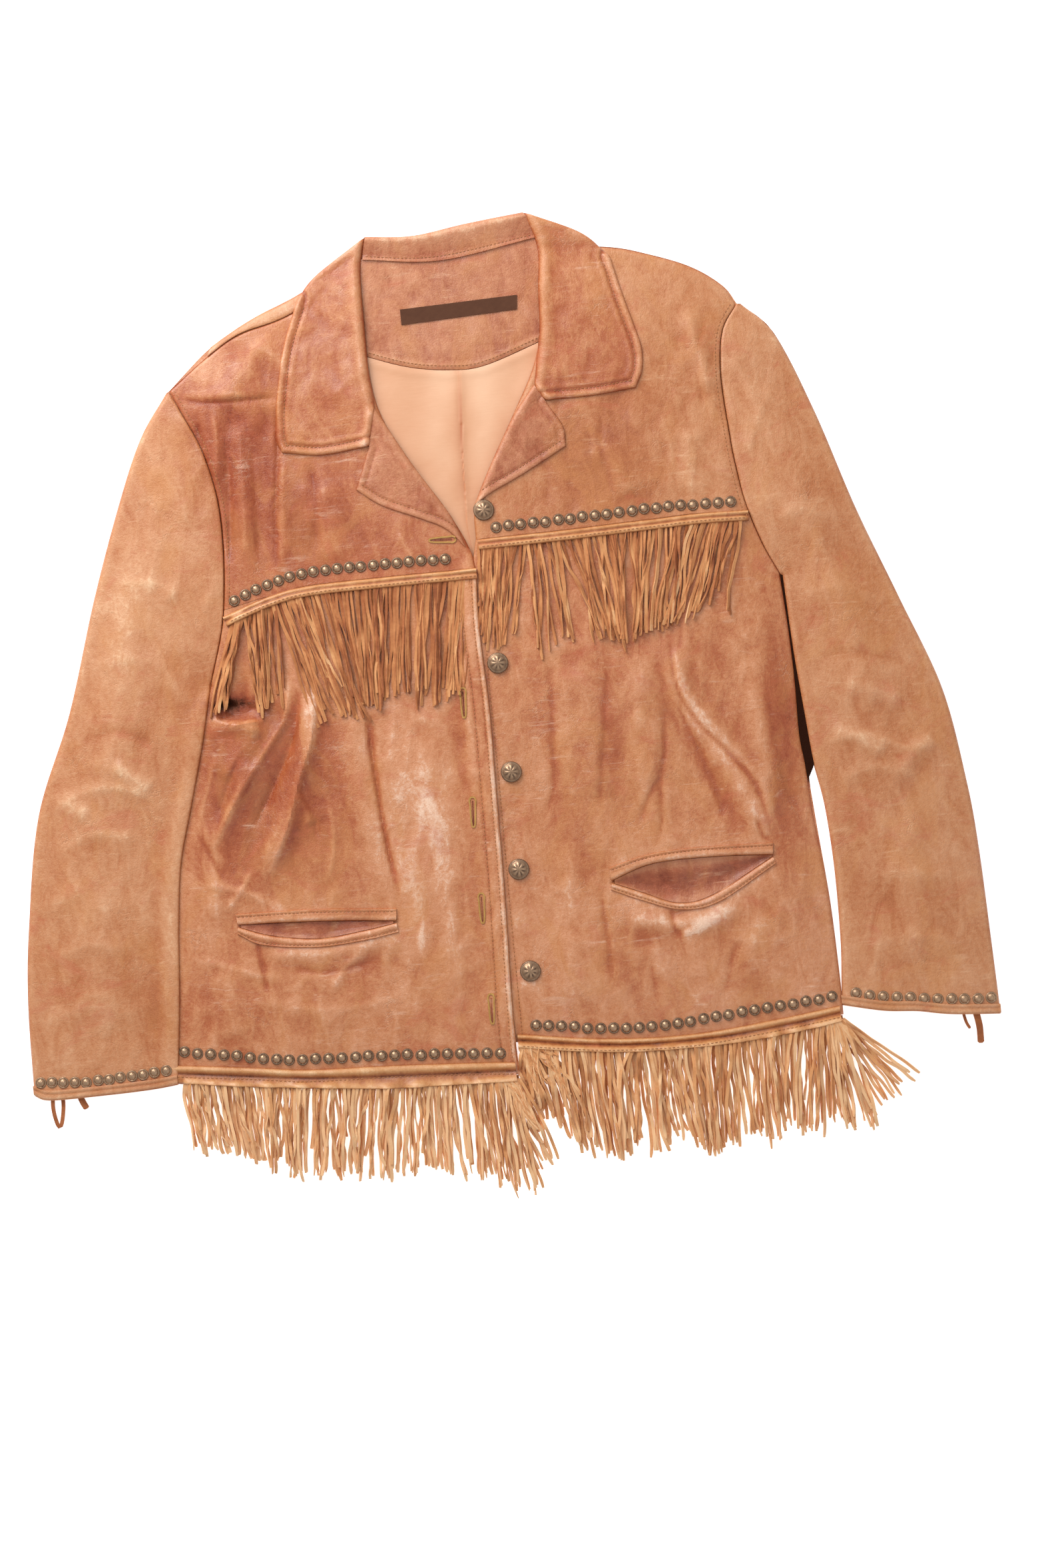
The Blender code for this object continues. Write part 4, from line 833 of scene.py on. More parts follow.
lamp("key", (-0.85, 1.5, 1.0), (0, 0, 0), 1.3, 35, (1.0, 0.985, 0.96))
lamp("sheen", (-0.45, 0.95, 2.3), (0, 0.05, 0), 0.45, 9)
lamp("fill", (0.9, -0.9, 1.6), (0, 0, 0), 1.6, 3)
world = bpy.context.scene.world or bpy.data.worlds.new("studio")
bpy.context.scene.world = world
world.use_nodes = True
world.node_tree.nodes["Background"].inputs["Color"].default_value = (1, 1, 1, 1)
world.node_tree.nodes["Background"].inputs["Strength"].default_value = 0.48
bpy.context.scene.view_settings.view_transform = "Standard"

f = Finish("white table", Specular_IOR_Level=0.0, Roughness=0.9)
f.feed(Emission_Color=(1, 1, 1, 1), Emission_Strength=0.7,
       Base_Color=f.mix((0.93, 0.93, 0.93, 1), (0.95, 0.95, 0.95, 1), f.noise(80, 3)))
table_mesh = bpy.data.meshes.new("table")
table_mesh.from_pydata([(x, y, -0.0005) for x, y in ((-3, -3), (3, -3), (3, 3), (-3, 3))],
                       [], [(0, 1, 2, 3)])
table_mesh.materials.append(f.material)
table = bpy.data.objects.new("table", table_mesh)
bpy.context.scene.collection.objects.link(table)
print("camera", tuple(round(c, 3) for c in eye.location))

# %% [markdown]
# ## Tone of the hides
# A dyer would describe this jacket by regions: russet at the yoke and under the arm, golden on
# the sleeves. Each row below is a soft oval of tone: most are such regions, but the pale ovals on
# the right front and the right yoke are painted highlights of the gloss, and narrow dark ones
# along folds and beside the left side seam are painted shade. To it a hide adds its own relief:
# crests are painted paler and hollows darker, partly the pull-up wear of the leather and partly
# painted highlight and painted shade; and edges wear.

# %% Regions of tone: x, y, half widths, turn in degrees, amount
# Most ovals are the leather's own colour; the pale ones on the right front and right yoke are painted
# highlights, and the narrow dark ones along folds and beside the left side seam are painted shade.
TONES = [
    (-188, 250, 46, 70, 10, -0.55), (-150, 170, 60, 50, 0, -0.45), (-182, 306, 26, 20, 0, 0.35),
    (-212, -30, 34, 76, 20, -0.75), (-160, -60, 40, 60, 10, -0.35), (-60, -110, 34, 70, 0, 0.45),
    (-60, -210, 36, 40, 0, 0.35), (-190, -190, 70, 26, 0, -0.2), (-130, -250, 90, 24, 0, 0.12),
    (-40, 60, 40, 50, 0, -0.1), (-240, -240, 30, 50, 0, -0.25), (150, 240, 60, 60, 0, -0.1),
    (190, 190, 30, 50, 0, 0.2), (100, 160, 70, 20, 0, -0.3), (120, -20, 70, 60, 0, -0.12),
    (190, -60, 36, 70, 10, -0.3), (60, -120, 40, 60, 0, 0.12), (160, -230, 90, 40, 0, 0.18),
    (250, -40, 14, 90, 0, -0.5), (40, -230, 40, 40, 0, 0.2), (-320, 60, 60, 110, 15, 0.22),
    (-360, -80, 50, 80, 0, 0.05), (-350, -200, 50, 60, 0, 0.1), (-262, 210, 22, 60, 10, 0.1),
    (-300, -240, 20, 50, 0, -0.15), (-390, -250, 18, 50, 0, 0.15), (300, 120, 40, 110, -15, -0.1),
    (340, -100, 50, 70, 0, 0.0), (350, -220, 50, 50, 0, 0.1), (262, 230, 20, 60, 0, 0.1),
    (290, -150, 14, 90, 0, -0.2), (392, -80, 12, 90, 0, -0.15), (-120, 280, 26, 50, 0, -0.15),
    (-104, 246, 30, 18, 0, 0.1), (110, 300, 30, 60, 0, -0.05), (-300, 150, 34, 50, 15, 0.35),
    (-320, 10, 50, 40, 0, -0.4), (-350, -95, 50, 30, 0, -0.25), (-350, -200, 50, 40, 0, -0.35),
    (-60, -105, 26, 46, 0, 0.3), (-60, -225, 30, 24, 0, -0.35), (-160, -40, 16, 50, 15, -0.9),
    (-180, 230, 26, 30, 0, -0.3), (80, -60, 20, 50, 0, -0.35), (170, -40, 20, 30, 30, 0.35),
    (45, -180, 26, 30, 0, 0.3), (320, 40, 40, 40, 0, -0.25), (340, -90, 40, 40, 0, -0.25),
    (350, -215, 50, 40, 0, -0.35), (-208, 302, 16, 14, 0, 0.7), (0, 392, 60, 10, 0, 0.5),
    (-212, 20, 22, 11, 0, -0.6), (-200, -45, 34, 46, 20, -0.55), (-182, 10, 12, 34, 30, -0.5),
    (66, -20, 12, 60, 0, 0.25), (246, -70, 9, 90, -8, -0.5), (150, -212, 16, 7, 15, 0.3),
    (53, -40, 7, 60, 3, -0.35), (104, -30, 8, 50, 6, -0.3), (137, -72, 7, 34, -8, -0.45),
    (66, -140, 14, 36, 8, -0.3), (238, -20, 12, 60, 0, -0.4), (90, -224, 16, 30, 20, -0.35),
    (198, -240, 10, 30, 20, -0.35), (-228, -95, 26, 36, 10, -0.5), (-66, -186, 12, 20, 0, -0.35),
    (-190, -246, 20, 16, 0, -0.25), (-60, -105, 16, 40, 0, -0.35), (110, 215, 44, 44, 0, -0.55),
    (-300, 170, 30, 30, 15, -0.55), (-70, -60, 22, 60, 6, 0.35), (-180, 170, 40, 40, 0, -0.25),
    (-205, 220, 20, 30, 0, -0.35), (120, -203, 22, 10, 0, -0.4), (47, -215, 14, 20, 0, -0.4),
    (60, 300, 20, 20, 0, -0.2), (118, 200, 40, 30, 0, -0.35),
]

# Deep folds that no light reaches
HOLLOWS = [(-216, 21, 17, 6, -6, -1.3)]


def patches(xy, table):
    """Soft oval patches of darker and paler tone."""
    out = np.zeros(xy.shape[:-1])
    for x, y, a, b, turn, amount in table:
        c, s = math.cos(math.radians(turn)), math.sin(math.radians(turn))
        dx, dy = xy[..., 0] - x, xy[..., 1] - y
        out += amount * np.exp(-((dx * c + dy * s) / a) ** 2 - ((dy * c - dx * s) / b) ** 2)
    return out


def tone_of(grid, top, base=0.0, edges=(), wear=0.3):
    out = base + patches(grid, TONES)
    rounds = 14
    smooth = soften(top, rounds)
    wide = smooth - soften(smooth, 6 * rounds)
    # Crests paler and hollows darker: partly the pull-up wear of the leather, partly painted highlight and
    # painted shade.
    out += np.clip((top - smooth) * 0.9, -0.6, 0.4) + np.clip(wide * 0.26, -0.4, 0.35)
    for line in edges:
        d = away(grid, line, 60)
        patch = 0.6 + 0.4 * swell(grid, 24, 7)
        out += wear * patch * bell(d, 0, 3.2) - 0.12 * bell(d, 9, 6)
    return np.clip(out, -0.95, 1.1) + patches(grid, HOLLOWS)


def surface_area(grid, top):
    p = np.dstack([grid, top]) * MM
    a, b = p[1:, 1:] - p[:-1, :-1], p[1:, :-1] - p[:-1, 1:]
    return 0.5 * float(np.linalg.norm(np.cross(a, b), axis=-1).sum())


cut_sizes = {}


def hide(name, grid, top, finish, edges=(), base=0.0, thick=LEATHER, tone=None, floor=FLOOR, slot=None):
    """Make one hide, leave its height on the table, and note the size of its cut."""
    laid[name] = stamp(grid, top)
    if tone is None:
        tone = tone_of(grid, top, base, edges)
    body = wall(grid, top, thick, floor)
    piece(name + "_hide", body, finish, tone, slot=slot)
    width = max(run_length(grid[0])[-1], run_length(grid[-1])[-1], np.ptp(grid[..., 0])) * MM
    length = max(run_length(grid[:, 0])[-1], run_length(grid[:, -1])[-1], np.ptp(grid[..., 1])) * MM
    cut_sizes[name] = (width, length, surface_area(grid, top))
    print(f"{name}: {width * 1000:.0f} x {length * 1000:.0f} mm, {len(body[1])} faces")


# %% [markdown]
# ## The back and what shows in the neck
# The back lies flat on the table under everything, with only its edges in sight. In the open
# neck lie the satin lining with its centre pleat, the leather facing that holds the neck's
# curve, and a small cloth label, left bare here. The satin hangs a little loose, so its relief
# is softer and wider than the leather's.

# %% Back panel
south = np.vstack([hem_r, hem_l])
west = np.vstack([side_r, ARM_R[1:] - [0.9, 0]])
east = np.vstack([side_l, ARM_L[1:] + [0.9, 0]])
# Above the slit beside the left side seam the back panel shows, in shadow, up to the sleeve.
inner_l = np.array(SLEEVE_L_INNER, float)
inner_l = inner_l[np.argsort(inner_l[:, 1])]
reach_out = np.interp(east[:, 1], inner_l[:, 1], inner_l[:, 0]) + 0.9 - east[:, 0]
east[:, 0] += reach_out * np.interp(east[:, 1], [-88, -76, 84, 90], [0, 1, 1, 0])
north = np.vstack([curve(SHOULDER_FOLD_R), curve(NECK_SEAM), curve(SHOULDER_L)[::-1]])
grid = cut(south, north, west, east, CELL * 2.2)
top = LEATHER + 0.18 * (1 + swell(grid, 40, 5, 80, 2)) * rise(grid, [north, south, west, east], 20)
# Along the slit beside the left side seam the back's tone is painted nearly black: painted shade in the
# gap.
slit = np.exp(-((grid[..., 0] - 265) / 10) ** 4) * np.clip((grid[..., 1] + 100) / 20, 0, 1)
hide("back_panel", grid, top, tan, tone=tone_of(grid, top) - 2.7 * slit, floor=0.0)

# %% Facing, lining and label
FACING_ARC = [(-78, 303), (-39, 289), (-4, 283), (27, 284), (82, 302)]
LINING_R = [(-4, 106), (-24, 160), (-56, 210), (-78, 302.4)]
LINING_L = [(16, 106), (26, 180), (58, 235), (82, 301.4)]
PLEAT = [(5, 282), (3, 250), (1, 217), (0, 190), (-1, 150), (4, 108)]
LABEL = [(-40, 324), (58, 328), (59, 340), (-40, 337)]

grid = cut(FACING_ARC, shifted(NECK_SEAM, 0, 1.6), [(-78, 303), (-82, 350), (-76, 383.4)],
           [(82, 302), (86, 350), (80, 387.4)])
top = 3.3 + 0.35 * swell(grid, 30, 21, 10, 2) + 0.25 * swell(grid, 12, 22)
top += 0.5 * bell(away(grid, FACING_ARC), 3.5, 1.6) - turned(grid, FACING_ARC, 4, 0.4)
hide("neck_facing", grid, top, russet, [FACING_ARC])

grid = cut([LINING_R[0], LINING_L[0]], shifted(FACING_ARC, 0, -0.6), LINING_R, LINING_L)
x, y = grid[..., 0], grid[..., 1]
off = away(grid, PLEAT)
pleat_y, pleat_x = [108, 150, 190, 217, 250, 282], [4, -1, 0, 1, 3, 5]
over = x > np.interp(y, pleat_y, pleat_x)
below_arc = y - np.interp(x, [-78, -39, -4, 27, 82], [303, 289, 283, 284, 302])
top = 2.9 + 0.6 * bell(off, 0, 3.0) * over - 0.25 * bell(off, 0, 1.6) * ~over
top += 0.3 * swell(grid, 34, 23, 80, 2.5) + 0.16 * swell(grid, 13, 24, 60, 2)
top += 0.5 * bell(below_arc, -5, 4)
tone = 0.2 * swell(grid, 40, 25, 80, 2.5)
# The pleat's fold line and the satin under its edge are painted darker as painted shade, and a band beside
# the pleat is painted paler as a painted sheen; both fade towards the bottom.
tone -= np.clip((y - 150) / 90, 0.25, 1) * (0.42 * bell(off, 0, 0.9) + 0.2 * bell(off, 0, 5) * ~over)
tone += 0.3 * bell(off, 17, 13) * np.clip((y - 150) / 60, 0, 1)
hide("back_lining", grid, top, satin, thick=SATIN, tone=tone)

grid = strip_between(curve(LABEL[:2]), curve(LABEL[:1:-1]), 1.2)
top = soften(read(laid["neck_facing"], grid) + 0.95, 20)
piece("label_ribbon", wall(grid, top, 0.6), label_cloth, 0.0, nodes=["neck_label"])
laid["label"] = stamp(grid, top)

grid = cut(shifted(NECK_SEAM, 0, 0.5), COLLAR_TOP, [(-76, 382.5), (-64, 401)], [(80, 386.5), (71, 409)])
hide("collar_fall_back", grid, np.full(grid.shape[:2], LEATHER), tan, floor=0.0)

# %% [markdown]
# ## The fronts and yokes
# The left front lies lowest and the right front laps over its edge, as on any garment that
# closes left over right for its wearer's left side. Both are one hide from hem to chest, with a
# yoke above. The pocket mouths are hollows here: the hide sinks where the pocket opens.

# %% Pockets as hollows
POCKETS = dict(
    right=dict(upper=[(-226, -156), (-161, -158), (-91, -164)],
               mouth=[(-225, -165), (-162, -168), (-92, -174)],
               lip=[(-225, -167), (-197, -177), (-158, -183), (-120, -180), (-92, -176)],
               lower=[(-226, -173), (-205, -184), (-160, -190), (-120, -188), (-91, -184)]),
    left=dict(upper=[(90, -147), (124, -139), (164, -137), (229, -139)],
              mouth=[(91, -158), (127, -147), (177, -146), (228, -149)],
              lip=[(91, -160), (115, -170), (145, -182), (175, -178), (228, -151)],
              lower=[(90, -166), (115, -177), (147, -188), (180, -184), (230, -157)]),
)


def inside(xy, outline):
    hit = np.zeros(xy.shape[:-1], bool)
    outline = np.array(outline)
    for (ax, ay), (bx, by) in zip(outline, np.roll(outline, -1, axis=0)):
        crosses = (ay > xy[..., 1]) != (by > xy[..., 1])
        if by != ay:
            hit ^= crosses & (xy[..., 0] < (bx - ax) * (xy[..., 1] - ay) / (by - ay) + ax)
    return hit


def hollow(xy, edges, depth):
    outline = np.vstack([few(edges["mouth"]), few(edges["lip"])[::-1]])
    d = distance(xy, np.vstack([outline, outline[:1]]))[0]
    signed = np.where(inside(xy, outline), d, -d)
    return depth * np.clip((signed + 1.2) / 3.4, 0, 1)


# %% Left front and yoke
drawn_in = np.interp(side_l[:, 1], [-170, -119, -73, 0, 84], [0, 1.5, 0.6, -0.3, 0.2])[:, None]
side_shown = side_l - drawn_in * [1, 0]
grid = cut(hem_l, yoke_l, front_edge_l, np.vstack([side_shown, under_arm_l[1:]]))
top = relief(grid, "body_left") - 0.35 * bell(away(grid, FRONT_EDGE_L), 13, 1.6)
for line, width, depth in ((FRONT_EDGE_L, 2.6, 1.2), (side_shown, 3.6, 2.6), (under_arm_l, 2.2, 1.2)):
    top -= turned(grid, line, width, depth)
laid["front_left_plain"] = stamp(grid, top)
hide("front_left", grid, top - hollow(grid, POCKETS["left"], 3.4), tan, [FRONT_EDGE_L])

grid = cut(yoke_l + [0, SEAM], SHOULDER_L[::-1], shifted(NECK_L, 0, SEAM), over_arm_l + [0, SEAM])
top = relief(grid, "body_left")
for line, width, depth in ((over_arm_l, 2.4, 1.3), (SHOULDER_L, 3.5, 2.4), (NECK_L, 4.5, 2.6)):
    top -= turned(grid, line, width, depth)
hide("yoke_left", grid, top, golden, base=-0.1, slot="tan_leather")

# %% Right front and yoke
grid = cut(hem_r, yoke_r, np.vstack([side_r, under_arm_r[1:]]), front_edge_r)
top = drape(grid, relief(grid, "body_right"), laid["front_left_plain"], reach=7)
for line, width, depth in ((side_r, 3.6, 2.2), (under_arm_r, 2.2, 1.2), (FRONT_EDGE_R, 2.4, 1.6)):
    top -= turned(grid, line, width, depth)
off = away(grid, FRONT_EDGE_R, 60)
for height, at, width in ((1.5, 0, 11), (0.5, 2.4, 1.6), (-0.55, 4.8, 1.0), (-0.6, 13, 1.4)):
    top += height * bell(off, at, width)
laid["front_right_plain"] = stamp(grid, top)
hide("front_right", grid, top - hollow(grid, POCKETS["right"], 2.6), tan, [FRONT_EDGE_R])

grid = cut(yoke_r + [0, SEAM], SHOULDER_R, over_arm_r + [0, SEAM], shifted(NECK_R, 0, SEAM))
top = relief(grid, "body_right")
top -= turned(grid, over_arm_r, 2.4, 1.3) + turned(grid, SHOULDER_R, 2.5, 1.4)
top = drape(grid, top, heap("front_left_plain", "yoke_left"), grid[..., 1] < 150)
hide("yoke_right", grid, top - turned(grid, NECK_R, 4.5, 2.6), tan, base=-0.3)

grid = cut(shifted(SHOULDER_R[1:], 0, 0.6), SHOULDER_FOLD_R[1:-1] + [(-76, 381)],
           [(-205, 313.6), (-202, 321)], [(-75, 372.6), (-76, 381)])
top = LOW + 1.6 - turned(grid, SHOULDER_R, 2.5, 1.0) - turned(grid, SHOULDER_FOLD_R, 7, 3.4)
hide("back_yoke_edge", grid, top, golden)

# %% [markdown]
# ## The sleeves
# A sleeve is one hide sewn into a tube and pressed flat. Its upper face carries the creases of
# a bent elbow; its lower face lies on the table. The two faces are made as two walls of one
# piece, and the upper one rolls down at both folds until it meets the table.

# %% Sleeve tubes
UNDER_R_INNER = [(-293.5, -294), (-289.5, -222), (-282.5, -166), (-274.5, -111), (-263.5, -72),
                 (-252.5, -29), (-242.5, 10), (-230.5, 36)]


def sleeve(name, cuff, outer, inner, arm, under_cuff, under_inner, right):
    head = [tuple(outer[-1]), tuple(arm[-1])]
    grid = sided(right, curve(cuff), head, curve(outer), np.vstack([curve(inner), arm[1:]]))
    top = relief(grid, name)
    below_arm = 40 - grid[..., 1]
    if right:
        top = drape(grid, top, laid["front_right_plain"], np.clip((below_arm - 10) / 12, 0, 1), 5)
        top += 1.5 * bell(away(grid, inner, 60), 4, 15) * np.clip(below_arm / 40, 0, 1)
    top -= turned(grid, outer, 4.5, 2.9) + turned(grid, inner, *((2.6, 1.6) if right else (4.0, 2.9)))
    top -= turned(grid, arm, 2.4, 1.3)
    laid[name] = stamp(grid, top)
    points, faces, source = wall(grid, top, LEATHER)
    upper = (points, faces, tone_of(grid, top, 0.05, [outer, inner], 0.14).ravel()[source])
    under_grid = sided(right, curve(under_cuff), head, curve(shifted(outer, 1.5 if right else -1.5, 0)),
                       np.vstack([curve(under_inner), arm[1:]]), CELL * 2)
    low = 0.12 * (1 + swell(under_grid, 30, 81, 80, 2))
    points, faces, source = wall(under_grid, LEATHER + low * 0.4, LEATHER, 0.0)
    lower = (points, faces, tone_of(under_grid, low * 6, 0.05).ravel()[source])
    area = surface_area(grid, top) + surface_area(under_grid, 0 * low)
    width = 2.04 * max(np.ptp(grid[..., 0], axis=1)) * MM
    length = run_length(curve(outer))[-1] * MM
    cut_sizes[name] = (width, length, area)
    print(f"{name}: {width * 1000:.0f} mm around, {length * 1000:.0f} mm long")
    piece(name + "_tube", joined([upper, lower]), golden, nodes=[name, name.replace("_", "_under_")])


sleeve("sleeve_right", CUFF_R, SLEEVE_R_OUTER, SLEEVE_R_INNER, ARM_R - [0.5, 0],
       shifted(CUFF_R[:-1], 1.5, 0.6) + [(-293.5, -294)], UNDER_R_INNER, True)
sleeve("sleeve_left", CUFF_L[::-1], SLEEVE_L_OUTER, SLEEVE_L_INNER, ARM_L + [0.5, 0],
       shifted(CUFF_L[::-1], 0, 0.6), shifted(SLEEVE_L_INNER, 1.5, 0), False)

# %% [markdown]
# ## Cuffs
# Each cuff ends in a narrow turned band, and a thong is knotted through it, so its ends hang
# past the edge. The thongs are cut like the fringe: flat lace a little over two millimetres
# wide that lies on its side or its face as it turns.

# %% Ribbons
def ribbon(line, height, width, thick, turn=0.0, tone=0.0, taper=0.85):
    """A lace along points (x, y) at the given heights, turned about its own length."""
    n = len(line)
    ahead = np.gradient(np.column_stack([line, height]), axis=0)
    ahead /= np.linalg.norm(ahead, axis=1)[:, None]
    flat = np.column_stack([-ahead[:, 1], ahead[:, 0], np.zeros(n)])
    flat /= np.linalg.norm(flat, axis=1)[:, None]
    up = np.cross(ahead, flat)
    turn = np.broadcast_to(turn, n)[:, None]
    side = flat * np.cos(turn) + up * np.sin(turn)
    face = up * np.cos(turn) - flat * np.sin(turn)
    size = np.ones((n, 1))
    size[-1] = taper
    p = np.column_stack([line, height])
    points = np.stack([p + side * (a * width / 2 * size) + face * (b * thick / 2 * size)
                       for a, b in ((-1, -1), (1, -1), (1, 1), (-1, 1))], axis=1).reshape(-1, 3)
    points[:, 2] = np.maximum(points[:, 2], FLOOR)
    k = np.arange(n * 4).reshape(n, 4)
    after = np.roll(k, -1, axis=1)
    sides = np.stack([after[:-1], k[:-1], k[1:], after[1:]], -1).transpose(1, 0, 2).reshape(-1, 4)
    return points, np.vstack([sides, k[:1], k[-1:, ::-1]]), np.broadcast_to(tone, len(points))


# %% Cuff bands and tails
# Line and width of each tail
CUFF_TAILS = dict(
    cuff_tail_right_loop=([(-393, -284), (-395, -304), (-392.5, -319), (-389.5, -318), (-386.5, -303),
                           (-386.5, -288)], 3.2),
    cuff_tail_right_end=([(-373, -284), (-371, -298), (-367, -307)], 5.2),
    cuff_tail_left_end=([(384, -288), (388, -308), (388, -324)], 5.6),
    cuff_tail_left_stub=([(374, -288), (377, -304), (380, -311)], 2.4),
)
drop = np.linspace(0, 1, 30)
for name, (line, width) in CUFF_TAILS.items():
    height = np.maximum(3.3 - 5.5 * drop, 0.85) + 0.4 * np.sin(drop * 7)
    lace = ribbon(resampled(line, 30), height, width, 1.0, 0.25 * np.sin(drop * 6), -0.5, 0.5)
    piece(name + "_lace", lace, thong_leather)

for side, cuff in (("right", CUFF_R), ("left", CUFF_L)):
    low = shifted(cuff, 0, 0.8)
    grid = strip_between(curve(low), curve(shifted(cuff, 0, 8.6)), 1.3)
    up = away(grid, low)
    base = soften(read(laid["sleeve_" + side], grid), 6)
    top = np.maximum(base, 3.0) + 1.1 + 0.45 * bell(up, 6.5, 1.3) - 0.3 * bell(up, 4.2, 0.7)
    top -= turned(grid, low, 1.6, 1.2)
    name = "cuff_band_" + side
    piece(name + "_leather", wall(grid, top, STRIP), golden, tone_of(grid, top, 0.1, [low], 0.25))
    laid[name] = stamp(grid, top)

# %% [markdown]
# ## Pockets
# A welt pocket is a slit with a folded strip on each lip. The right one is nearly shut; the
# left one gapes, and its facing and the shade inside it show. The facing lies in the hollow
# that was made in the front, so the welts shade the mouth; the facing's tone is also set darker,
# partly its own russet and partly painted shade of the mouth.

# %% Welts and facings
for side, edges in POCKETS.items():
    low, high = shifted(edges["lip"], 0, 0.4), shifted(edges["mouth"], 0, -0.4)
    grid = strip_between(*(resampled(line, 80, 0.02, 0.98) for line in (low, high)), 1.6)
    top = read(laid["front_" + side], grid) + 1.35 + 0.6 * swell(grid, 13, 91, 70, 2.5)
    top = soften(top + 0.3 * swell(grid, 6, 92), 3)
    # The facing's tone is set 0.55 darker: partly its russet colour, partly painted shade of the mouth.
    piece(f"pocket_facing_{side}_leather", wall(grid, top, 1.0), russet, tone_of(grid, top, -0.55))
    for part, low, high in (("upper", "mouth", "upper"), ("lower", "lower", "lip")):
        grid = strip_between(curve(edges[low]), curve(edges[high]), 1.1)
        open_edge, sewn_edge = edges["mouth" if part == "upper" else "lip"], edges[part]
        top = covering(laid[f"front_{side}_plain"], grid, 6) + LEATHER + 0.25
        top += 0.75 * bell(away(grid, open_edge), 2.6, 2.2) - 0.45 * bell(away(grid, sewn_edge), 2.2, 0.8)
        top += 0.25 * swell(grid, 8, 93, 0, 2)
        top -= turned(grid, open_edge, 1.8, 1.0) + turned(grid, sewn_edge, 1.0, 0.8)
        name = f"pocket_welt_{part}_{side}"
        piece(name + "_leather", wall(grid, top, 1.3), tan, tone_of(grid, top, 0.05, [open_edge], 0.35))
        laid[name] = stamp(grid, top)

# %% [markdown]
# ## The fringe
# Fringe is one strip of hide, cut into thongs that stay joined at the root. Thongs crowd into
# locks and cross near their tips. Each one here follows its lock, bends by chance and comes to
# rest on whatever lies below it, thongs laid before it included, as the real ones pile up.
# Hair curves with a bevel would be quicker to place, but they would pass through each other.

# %% Locks of thongs
# First root, last root, first tip, last tip (x), first and last tip (y), thongs
CHEST_LOCKS_R = [
    (-205, -195, -229, -220, 12, 17, 6),
    (-195, -168, -193, -174, 6, 18, 11),
    (-171, -147, -140, -121, -5, 2, 9),
    (-154, -124, -127, -103, 7, -3, 12),
    (-125, -81, -111, -87, 15, 3, 17),
    (-81, -39, -89, -50, 13, 17, 16),
    (-41, 0, -53, -17, -1, 17, 17),
]
CHEST_LOCKS_L = [
    (7, 25, 0, 12, 57, 44, 10),
    (23, 45, 11, 27, 44, 54, 9),
    (48, 59, 47, 55, 42, 37, 4),
    (61, 73, 67, 78, 46, 47, 5),
    (74, 99, 97, 111, 51, 42, 9),
    (97, 121, 111, 123, 46, 39, 9),
    (119, 145, 117, 134, 42, 46, 10),
    (143, 177, 128, 162, 45, 51, 13),
    (175, 210, 152, 177, 48, 59, 12),
    (206, 227, 176, 206, 54, 75, 8),
    (223, 227, 209, 212, 58, 48, 2),
]
HEM_LOCKS_R = [
    (-282, -263, -275, -262, -350, -353, 8),
    (-263, -241, -257, -238, -353, -359, 8),
    (-242, -215, -238, -213, -358, -369, 9),
    (-215, -187, -217, -196, -369, -379, 10),
    (-189, -163, -196, -174, -378, -378, 9),
    (-164, -138, -175, -144, -381, -383, 9),
    (-138, -112, -149, -119, -383, -390, 9),
    (-113, -86, -122, -94, -380, -388, 9),
    (-87, -60, -89, -60, -381, -392, 9),
    (-61, -34, -62, -33, -391, -399, 9),
    (-35, -17, -33, -14, -398, -406, 7),
    (-19, -1, -16, 6, -405, -413, 8),
    (-17, -1, 3, 23, -392, -389, 4),
    (-14, -3, 3, 15, -352, -374, 7),
]
HEM_LOCKS_L = [
    (-1, 13, 11, 26, -315, -325, 6),
    (8, 27, 29, 44, -323, -339, 6),
    (24, 46, 36, 52, -367, -383, 9),
    (45, 75, 52, 82, -381, -391, 11),
    (74, 103, 78, 100, -390, -373, 10),
    (102, 127, 106, 130, -388, -374, 9),
    (126, 156, 134, 155, -376, -396, 11),
    (155, 184, 156, 178, -394, -386, 10),
    (183, 213, 187, 210, -379, -389, 9),
    (211, 236, 209, 232, -383, -376, 8),
    (236, 256, 230, 249, -380, -384, 7),
    (254, 270, 250, 274, -378, -378, 6),
    (258, 275, 269, 297, -380, -385, 6),
    (265, 275, 288, 331, -377, -343, 8),
    (1, 11, 4, 14, -332, -350, 7),
    (4, 24, 13, 31, -344, -360, 8),
]


# %% Thongs that rest on one another
THONG, STEPS = 1.1, 26          # a thong's thickness, and the points along it
HIGHEST = 9.0                   # crossing thongs pile up no higher than this


def band_root(line, depth):
    """The line moved down by depth, across the band."""
    return offset(resampled(line, 60), -depth)


def rested(line, ground):
    """Heights of a thong's middle line where it rests on the ground grid."""
    beside = np.array([(0, 0), (1.1, 0), (-1.1, 0), (0, 1.1), (0, -1.1)])
    need = np.max([read(ground, line + d) for d in beside], axis=0)
    p = np.pad(np.minimum(need, HIGHEST), 1, mode="edge")
    p = np.pad(np.max([p[:-2], p[1:-1], p[2:]], axis=0), 1, mode="edge")
    return (p[:-2] + 2 * p[1:-1] + p[2:]) / 4 + THONG / 2 + 0.25


def leave_print(ground, line, height):
    """Leave a thong's top on the ground grid."""
    dense = along(line, np.linspace(0, 1, int(run_length(line)[-1] / 0.6) + 2))
    share = run_length(line) / run_length(line)[-1]
    tall = np.interp(np.linspace(0, 1, len(dense)), share, height) + THONG / 2
    for dx in (-1.2, -0.4, 0.4, 1.2):
        ij = np.rint(dense + (dx, 0) + REACH).astype(int)
        np.maximum.at(ground, (ij[:, 1], ij[:, 0]), tall.astype(np.float32))


